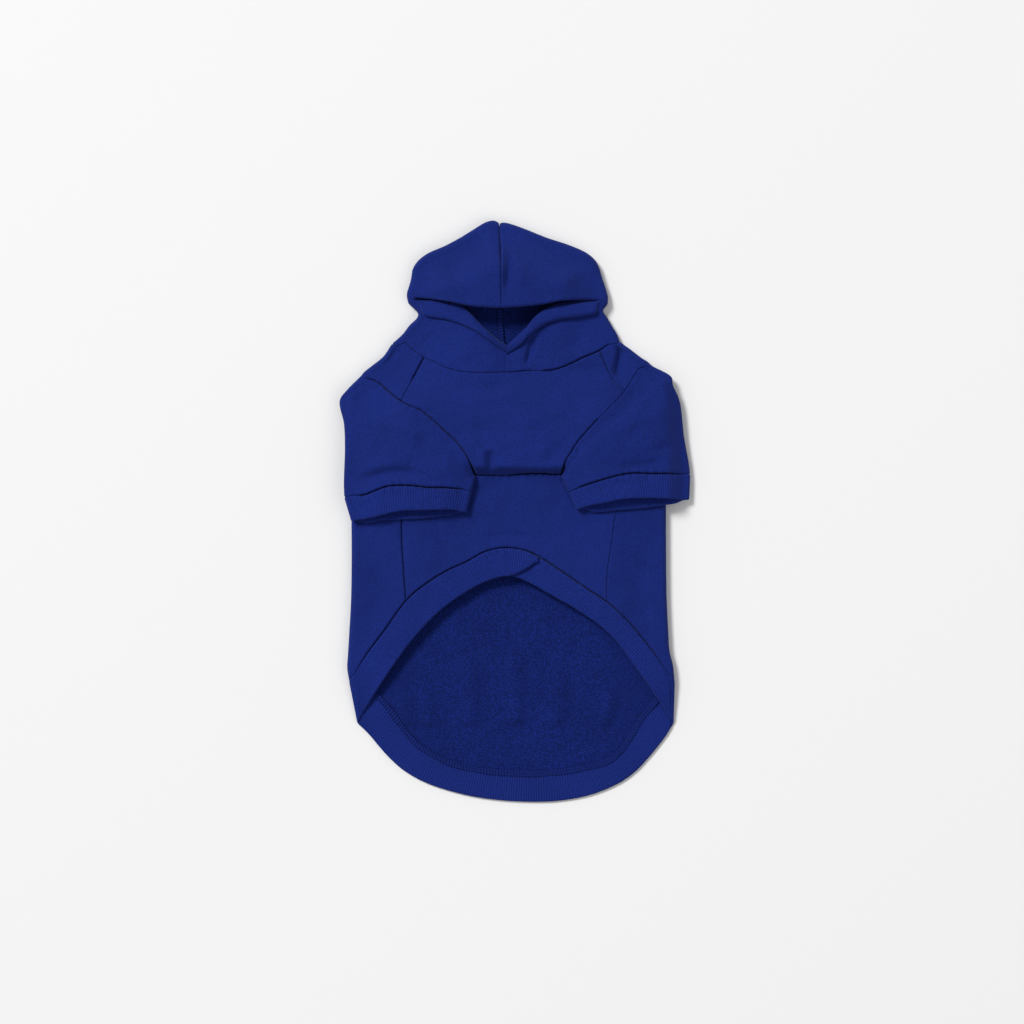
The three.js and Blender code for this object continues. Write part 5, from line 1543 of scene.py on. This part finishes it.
@dataclass
class HoodHalf:
    """Half of the hood: back, folded edge, crown with a rolled rim, neck front and face hem."""

    pattern: Pattern
    side: Side
    cloth: float = 2.0
    roll: float = 2.2
    turn_in: float = 6.0
    face_lift: float = 3.6
    lap_rise: float = 1.25
    fold_cells: int = 10

    def neck_height(self, plan: Array, u: Array = 0, v: Array = 0) -> Array:
        """Neck front layer: the right one rises over the left one where they lap."""
        if self.side is Side.RIGHT:
            step = self.lap_rise * (1 - ease((plan[..., 0] - Pattern.across_of(LAP_TO)) / LAP_SLOPE))
        else:
            step = -self.lap_rise * ease((plan[..., 0] - Pattern.across_of(LAP_FROM)) / LAP_SLOPE + 1)
        return self.pattern.lie.front(plan) + step

    def build(self, wardrobe: Wardrobe) -> bpy.types.Object:
        """Makes the hood half."""
        pattern, lie, side = self.pattern, self.pattern.lie, self.side
        groups = pattern.stations[side]
        end = 0.0 if side is Side.LEFT else 1.0
        piece = Cloth(self.cloth)
        below = groups["neck"] + groups["face"] + groups["temple"]
        crown = groups["crown"]
        top = crown.low[-1]
        centre = seen(HOOD_CENTRE)
        back_centre = Line(np.vstack([pattern.back_neck.at(0.5), centre[:-1], top[:2]]))
        us, vs = shares_of(crown.shares), shares_of(below.shares)

        def flat(plan: Array, u: Array = 0, v: Array = 0) -> Array:
            """The back layer lies on the surface, lifted a little away from its edges."""
            return np.maximum(swell(plan, 20, 5.0, 0.25), 0) * ease(lie.depth(plan) / SETTLE - 0.4)

        neck_row = run(drawn(pattern.back_neck.at(mix(end, 0.5, us)), below.low[0]), flat)
        neck_row[0] = below.low[0]
        centre_run = run(back_centre.at(vs), flat)
        centre_run[-1], neck_row[-1] = top, centre_run[0]
        piece.add(sheet(neck_row, crown.low, below.low, centre_run, us, vs, flat), DOWN)
        away = np.array([side.value, 0.6, 0.0])
        whole = below + crown
        piece.add(fold(whole.low, whole.high, whole.outward * self._nipped(groups), self.fold_cells), away)
        self._crown(piece, groups["temple"], crown, us)
        self._front(piece, groups, end)
        return piece.build(f"hood_{side.name.lower()}_cloth", wardrobe.cloth)

    def _nipped(self, groups: dict[str, Stations]) -> Array:
        """Share of the fold's bulge: the crease and the rim run on over the folded side as narrow nips."""
        marks = (groups["face"].shares[0], groups["face"].shares[-1])
        parts = [groups["neck"].shares, *(groups[name].shares[1:] for name in ("face", "temple", "crown"))]
        shares = np.concatenate(parts)
        length = self.pattern.outline[self.side].length
        nips = [np.exp(-(((shares - mark) * length / 2.8) ** 2)) for mark in marks]
        return (1 - 0.3 * nips[0] - 0.14 * nips[1])[:, None]

    def _crown(self, piece: Cloth, temple: Stations, crown: Stations, us: Array) -> None:
        """Adds the crown sheet and its rolled rim over the face opening."""
        lie = self.pattern.lie
        corner, top = temple.high[0], crown.high[-1]
        rim_line = Line(np.vstack([corner[:2], seen(LINES[self.side].rim), seen(HOOD_CENTRE)[0]]))
        centre = Line(np.vstack([seen(HOOD_CENTRE)[:-1], top[:2]]))
        vs = shares_of(temple.shares)
        rim = rim_line.at(us)
        along = rim_line.heading(us)
        toward = np.column_stack([along[:, 1], -along[:, 0]]) * -self.side.value
        size = self.roll * ease(us * rim_line.length / 4.5)
        start = rim - toward * size[:, None]
        bottom = run(start, lie.crown)
        bottom[0] = corner
        centre_run = run(centre.at(vs), lie.crown)
        centre_run[0], centre_run[-1] = bottom[-1], top
        piece.add(sheet(bottom, crown.high, temple.high, centre_run, us, vs, lie.crown), UP)
        turn = np.linspace(0, np.pi, 9)[:, None, None]
        forward = grounded(toward)
        ball = bottom - size[:, None] * UP
        rolled = ball + forward * size[:, None] * np.sin(turn) + UP * size[:, None] * np.cos(turn)
        back = np.array([0.3, 0.65, 1.0])[:, None, None] * self.turn_in * (size / self.roll)[:, None]
        inner = rolled[-1] - forward * back
        piece.add(np.vstack([rolled, inner]), UP, probe=slice(0, 3))

    def _front(self, piece: Cloth, groups: dict[str, Stations], end: float) -> None:
        """Adds the neck front and the raised face hem, which overhangs its crease."""
        pattern, lines = self.pattern, LINES[self.side]
        lap = LAP_TO if self.side is Side.LEFT else LAP_FROM
        crease_line = Line(np.vstack([groups["face"].low[0, :2], seen(lines.crease)]))
        free_line = Line(np.vstack([groups["temple"].low[0, :2], seen(lines.free_edge)]))
        us = spaced(crease_line.length, 1.0, False, True)
        along = drawn(pattern.neck.at(mix(end, pattern.neck_at(lap), us)), groups["neck"].high[0])
        neck = run(along, self.neck_height)
        neck[0] = groups["neck"].high[0]
        crease, free = crease_line.at(us), free_line.at(us)
        toward = unit(free - crease)
        long = us * crease_line.length
        strong = ease(long / 4.5) * mix(1.0, 0.45, ease((us - 0.72) / 0.28))
        size = (2.5 if self.side is Side.RIGHT else 1.7) * strong
        tuck = crease + toward * (size * 1.1)[:, None]
        height = self.neck_height(crease)
        height[0] = groups["face"].high[0, 2]
        base = np.column_stack([tuck, height])
        base[0] = groups["face"].high[0]
        rows = shares_of(groups["neck"].shares)
        lap_line = Line(np.vstack([neck[-1, :2], base[-1, :2]]))
        end_run = run(lap_line.at(rows), self.neck_height)
        end_run[0], end_run[-1] = neck[-1], base[-1]
        piece.add(sheet(neck, base, groups["neck"].high, end_run, us, rows, self.neck_height), UP)
        self._face_hem(piece, groups["face"], groups["temple"], base, free, toward, size, us)

    def _face_hem(
        self, piece: Cloth, face: Stations, temple: Stations, base: Array, free: Array, toward: Array,
        size: Array, us: Array,
    ) -> None:
        """Adds the hem: out of its tuck, round over the crease, and on to its rolled free edge."""
        forward = grounded(toward)
        rows = shares_of(face.shares)
        turn = np.linspace(0, np.pi, 9)[1:, None, None]
        radius = size[:, None]
        over = base + UP * radius * (1 - np.cos(turn)) - forward * radius * 1.7 * np.sin(turn)
        lip = over[-1]
        lap = Pattern.across_of(LAP_FROM)
        tucked = ease((lap - base[:, 0]) / LAP_SLOPE) if self.side is Side.LEFT else np.ones(len(us))
        lift = self.face_lift * ease(self.pattern.lie.depth(free) / SETTLE - 0.3) * tucked
        sunk = 2.4 * ease((0.62 - us) / 0.25) * ease(us / 0.06)
        edge_height = np.maximum(self.neck_height(free) + lift * 0.8, lip[:, 2] - 1.2 * size) - sunk
        edge = np.column_stack([free, edge_height])
        edge[0] = temple.high[0]
        lip_start = lip.copy()
        lip_start[0] = face.high[0]
        over[:, 0] = face.high[0]
        piece.add(np.vstack([base[None], over]), UP, probe=slice(5, 9))
        end_run = mix(lip_start[-1], edge[-1], rows[:, None])

        def height(plan: Array, u: Array, v: Array) -> Array:
            """Gently arched between the lip and the free edge."""
            wide = np.interp(u[0], us, lip_start[:, 2])
            far = np.interp(u[0], us, edge[:, 2])
            return mix(wide, far, v) + 0.7 * np.sin(np.pi * v) * ease(u * 6)

        piece.add(sheet(lip_start, edge, face.high, end_run, us, rows, height), UP)
        curl = np.linspace(0, np.pi, 7)[:, None, None]
        small = (self.roll * 0.75 * ease(us * 30))[:, None]
        ball = edge - small * UP
        rolled = ball + forward * small * np.sin(curl) + UP * small * np.cos(curl)
        inner = rolled[-1] - forward * np.array([0.5, 1.0])[:, None, None] * 3.0 * small / self.roll
        piece.add(np.vstack([rolled, inner]), UP, probe=slice(0, 2))


@dataclass
class ThreadWork:
    """Overlocked seams on the inside and stitches on the outside, joined into one mesh."""

    pattern: Pattern
    pitch: float = 2.4
    wide: float = 4.6
    high: float = 2.7
    seam_lift: float = 1.9
    stitch_lift: float = 0.95
    points: list[Array] = field(default_factory=list)
    faces: list[Array] = field(default_factory=list)
    count: int = 0

    def _put(self, points: Array, faces: Array) -> None:
        """Adds a closed skin, turned outward: the sum of its cone volumes is positive."""
        a, b, c, d = (points[faces[:, corner]] for corner in range(4))
        middle = points.mean(0)
        volume = (np.cross(c - a, d - b) * (a + b + c + d - 4 * middle)).sum()
        self.points.append(points)
        self.faces.append((faces if volume > 0 else faces[:, ::-1]) + self.count)
        self.count += len(points)

    @staticmethod
    def _tube_faces(rings: int, around: int) -> Array:
        """Faces of a tube of rings with a fan at each end, whose middle points follow the rings."""
        index = np.arange(rings * around).reshape(rings, around)
        turned = np.roll(index, -1, axis=1)
        skin = np.stack([index[:-1], index[1:], turned[1:], turned[:-1]], -1).reshape(-1, 4)
        last = rings * around
        fans = ((index[0], turned[0], last), (turned[-1], index[-1], last + 1))
        ends = [np.column_stack([np.full(around, tip), ring, beside, beside]) for ring, beside, tip in fans]
        return np.vstack([skin, *ends])

    def ridge(self, line: Line, height: Height) -> None:
        """Adds a flat ridge of thread loops: an ellipse with a dented top that beats once a loop."""
        loops = round(line.length / self.pitch)
        shares = np.linspace(0, 1, loops * 6 + 1)
        turn = np.linspace(0, math.tau, 16, endpoint=False)
        heading = line.heading(shares)
        aside = np.column_stack([-heading[:, 1], heading[:, 0]])[:, None]
        beat = np.sin(math.tau * loops * shares[:, None] + 1.1 * np.cos(turn))
        small = ease(np.minimum(shares, 1 - shares) * line.length / 3 + 0.1)[:, None]
        uneven = 1 + 0.12 * np.sin(shares * 61)[:, None]
        across = self.wide / 2 * np.cos(turn) * (1 + 0.13 * beat) * small * uneven
        dent = 1 - 0.75 * np.exp(-((np.cos(turn) / 0.3) ** 2)) * (np.sin(turn) > 0)
        rise = self.high / 2 * np.sin(turn) * dent * (1 + 0.55 * beat) * small
        plan = line.at(shares)
        level = height(plan) + self.high * 0.3
        grid = np.dstack([plan[:, None] + aside * across[..., None], level[:, None] + rise])
        ends = np.column_stack([plan[[0, -1]], level[[0, -1]]])
        self._put(np.vstack([grid.reshape(-1, 3), ends]), self._tube_faces(len(shares), len(turn)))

    def stitches(self, places: Places, height: Height, long: float = 2.3, gap: float = 0.7) -> None:
        """Adds a row of stitches: each is a small spindle that lies on the cloth."""
        line = Line(seen(places))
        count = max(1, int(line.length / (long + gap)))
        shares = (np.arange(count) + 0.5) / count
        heading = line.heading(shares)
        aside = np.column_stack([-heading[:, 1], heading[:, 0]])
        plan = line.at(shares)
        level = height(plan)
        along = np.linspace(-1, 1, 6)
        thick = 0.34 * np.sqrt(1.04 - along**2)
        turn = np.linspace(0, math.tau, 6, endpoint=False)
        shape = np.stack(np.broadcast_arrays(
            along[:, None] * long / 2, thick[:, None] * np.cos(turn), thick[:, None] * np.sin(turn)), -1)
        shape = np.vstack([shape.reshape(-1, 3), [(-long / 2, 0, 0), (long / 2, 0, 0)]])
        faces = self._tube_faces(6, 6)
        for number in range(count):
            flat = shape[:, :1] * heading[number] + shape[:, 1:2] * aside[number]
            self._put(np.column_stack([plan[number] + flat, level[number] + shape[:, 2]]), faces)

    def build(self, wardrobe: Wardrobe) -> bpy.types.Object:
        """Makes the hem's and the hood's overlocked seams and the stitches at the throat."""
        pattern, lie = self.pattern, self.pattern.lie
        left, right = (pattern.corner[side]["tail"] for side in Side)

        def on_lining(plan: Array) -> Array:
            """Height of the hem's overlocked seam, on the back layer."""
            return lie.lining(plan) + self.seam_lift

        def on_hood(plan: Array) -> Array:
            """Height of the hood's overlocked seam, on its flat back."""
            return np.full(len(plan), self.seam_lift)

        def on_neck(plan: Array) -> Array:
            """Height of the stitches, on the neck front."""
            return lie.front(plan) + self.stitch_lift

        self.ridge(Line(pattern.tail.part(left, right, 300), fine=0), on_lining)
        self.ridge(Line(seen(HOOD_SEAM)), on_hood)
        for places in THROAT_STITCHES:
            self.stitches(places, on_neck)
        faces = np.vstack(self.faces)
        ways = np.zeros((len(faces), 4, 2))
        sides = np.zeros(len(faces), int)
        return solid("seam_threads", np.vstack(self.points), faces, ways, sides, [wardrobe.thread])


@dataclass(frozen=True)
class Studio:
    """Camera, floor and soft lights."""

    lens: float = 92.0
    sensor: float = 36.0
    picture: float = 1.024
    lift: float = 0.01
    floor_size: float = 6.0
    floor_drop: float = 0.0004
    floor_grey: float = 0.84

    def camera(self) -> None:
        """Looks straight down, framed as the picture is."""
        data = bpy.data.cameras.new("camera")
        data.lens = self.lens
        data.clip_end = 20
        camera = bpy.data.objects.new("camera", data)
        middle = seen(((512, 512),))[0] * METRE
        camera.location = (*middle, self.lift + self.picture * PIXEL * self.lens / self.sensor)
        bpy.context.scene.collection.objects.link(camera)
        bpy.context.scene.camera = camera

    def floor(self) -> None:
        """Plain pale floor."""
        half = self.floor_size / 2
        mesh = bpy.data.meshes.new("floor")
        corners = [(-half, -half, 0), (half, -half, 0), (half, half, 0), (-half, half, 0)]
        mesh.from_pydata(corners, [], [(0, 1, 2, 3)])
        material = bpy.data.materials.new("pale_floor")
        material.use_nodes = True
        shader = material.node_tree.nodes["Principled BSDF"]
        shader.inputs["Base Color"].default_value = (*[self.floor_grey] * 3, 1)
        shader.inputs["Roughness"].default_value = 0.9
        shader.inputs["Specular IOR Level"].default_value = 0.1
        mesh.materials.append(material)
        floor = bpy.data.objects.new("floor", mesh)
        floor.location.z = -self.floor_drop
        bpy.context.scene.collection.objects.link(floor)

    def lights(self) -> None:
        """A broad key from the upper left, a weak fill and a pale sky."""
        self._area("key", (-5.9, 5.9, 8.6), 3.1, 1210)
        self._area("fill", (4.2, -3.8, 5.3), 5.0, 82)
        world = bpy.data.worlds.new("sky")
        bpy.context.scene.world = world
        world.use_nodes = True
        sky = world.node_tree.nodes["Background"]
        sky.inputs["Color"].default_value = (1.0, 1.0, 1.0, 1)
        sky.inputs["Strength"].default_value = 0.4
        bpy.context.scene.view_settings.view_transform = "Standard"

    @staticmethod
    def _area(name: str, place: tuple[float, float, float], size: float, power: float) -> None:
        """Adds a square area light that looks at the garment."""
        data = bpy.data.lights.new(name, "AREA")
        data.size = size
        data.energy = power
        light = bpy.data.objects.new(name, data)
        light.location = place
        light.rotation_euler = (-Vector(place)).to_track_quat("-Z", "Y").to_euler()
        bpy.context.scene.collection.objects.link(light)


@dataclass(frozen=True)
class Tag:
    """A piece of cloth's node in the model, its finish, flat size, cut area and how it is held."""

    node: str
    slot: str
    flat: tuple[float, float]
    area: float
    held: str

    def declare(self, piece: bpy.types.Object, rests_on: list[str]) -> None:
        """Rides the piece on the body, replaces its plain solid and logs its triangles and area."""
        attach(piece, "root")
        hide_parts(self.node)
        half = sum(face.area for face in piece.data.polygons) / 2
        faces = sum(len(face.vertices) - 2 for face in piece.data.polygons)
        LOG.info("%s: %d triangles, %.4f m2, cut %.4f m2", piece.name, faces, half, self.area)


def main() -> None:
    """Builds the garment and the studio and reports each piece."""
    logging.basicConfig(level=logging.INFO, format="%(message)s")
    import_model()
    studio = Studio()
    studio.camera()
    wardrobe = Wardrobe()
    pattern = Pattern(Lie())
    body = Body(pattern)
    pieces = {
        "back": (body.back(wardrobe), Tag("back_panel", "fleece", (0.5, 0.4), 0.105, "folded")),
        "chest": (body.chest(wardrobe), Tag("chest_panel", "fleece", (0.19, 0.11), 0.0115, "laid")),
        "belly": (body.belly(wardrobe), Tag("belly_panel", "fleece", (0.2, 0.12), 0.0118, "laid")),
        "hem": (Hem(pattern).build(wardrobe), Tag("hem_band", "rib_knit", (0.72, 0.026), 0.0165, "folded")),
    }
    for side in Side:
        name = side.name.lower()
        sleeve, hood = Sleeve(pattern, side), HoodHalf(pattern, side)
        made = {
            "sleeve_": (sleeve.sleeve(wardrobe), "fleece", (0.26, 0.12), 0.0148, "laid"),
            "cuff_": (sleeve.cuff(wardrobe), "rib_knit", (0.22, 0.024), 0.0052, "laid"),
            "hood_": (hood.build(wardrobe), "fleece", (0.25, 0.16), 0.0172, "folded"),
        }
        for stem, (piece, *cut) in made.items():
            pieces[stem + name] = (piece, Tag(stem + name, *cut))
    for name, (piece, tag) in pieces.items():
        tag.declare(piece, [] if name == "back" else [pieces["back"][0].name])
    threads = ThreadWork(pattern).build(wardrobe)
    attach(threads, "root")
    LOG.info("%s: %d faces", threads.name, len(threads.data.polygons))
    studio.floor()
    studio.lights()


if __name__ == "__main__":
    main()
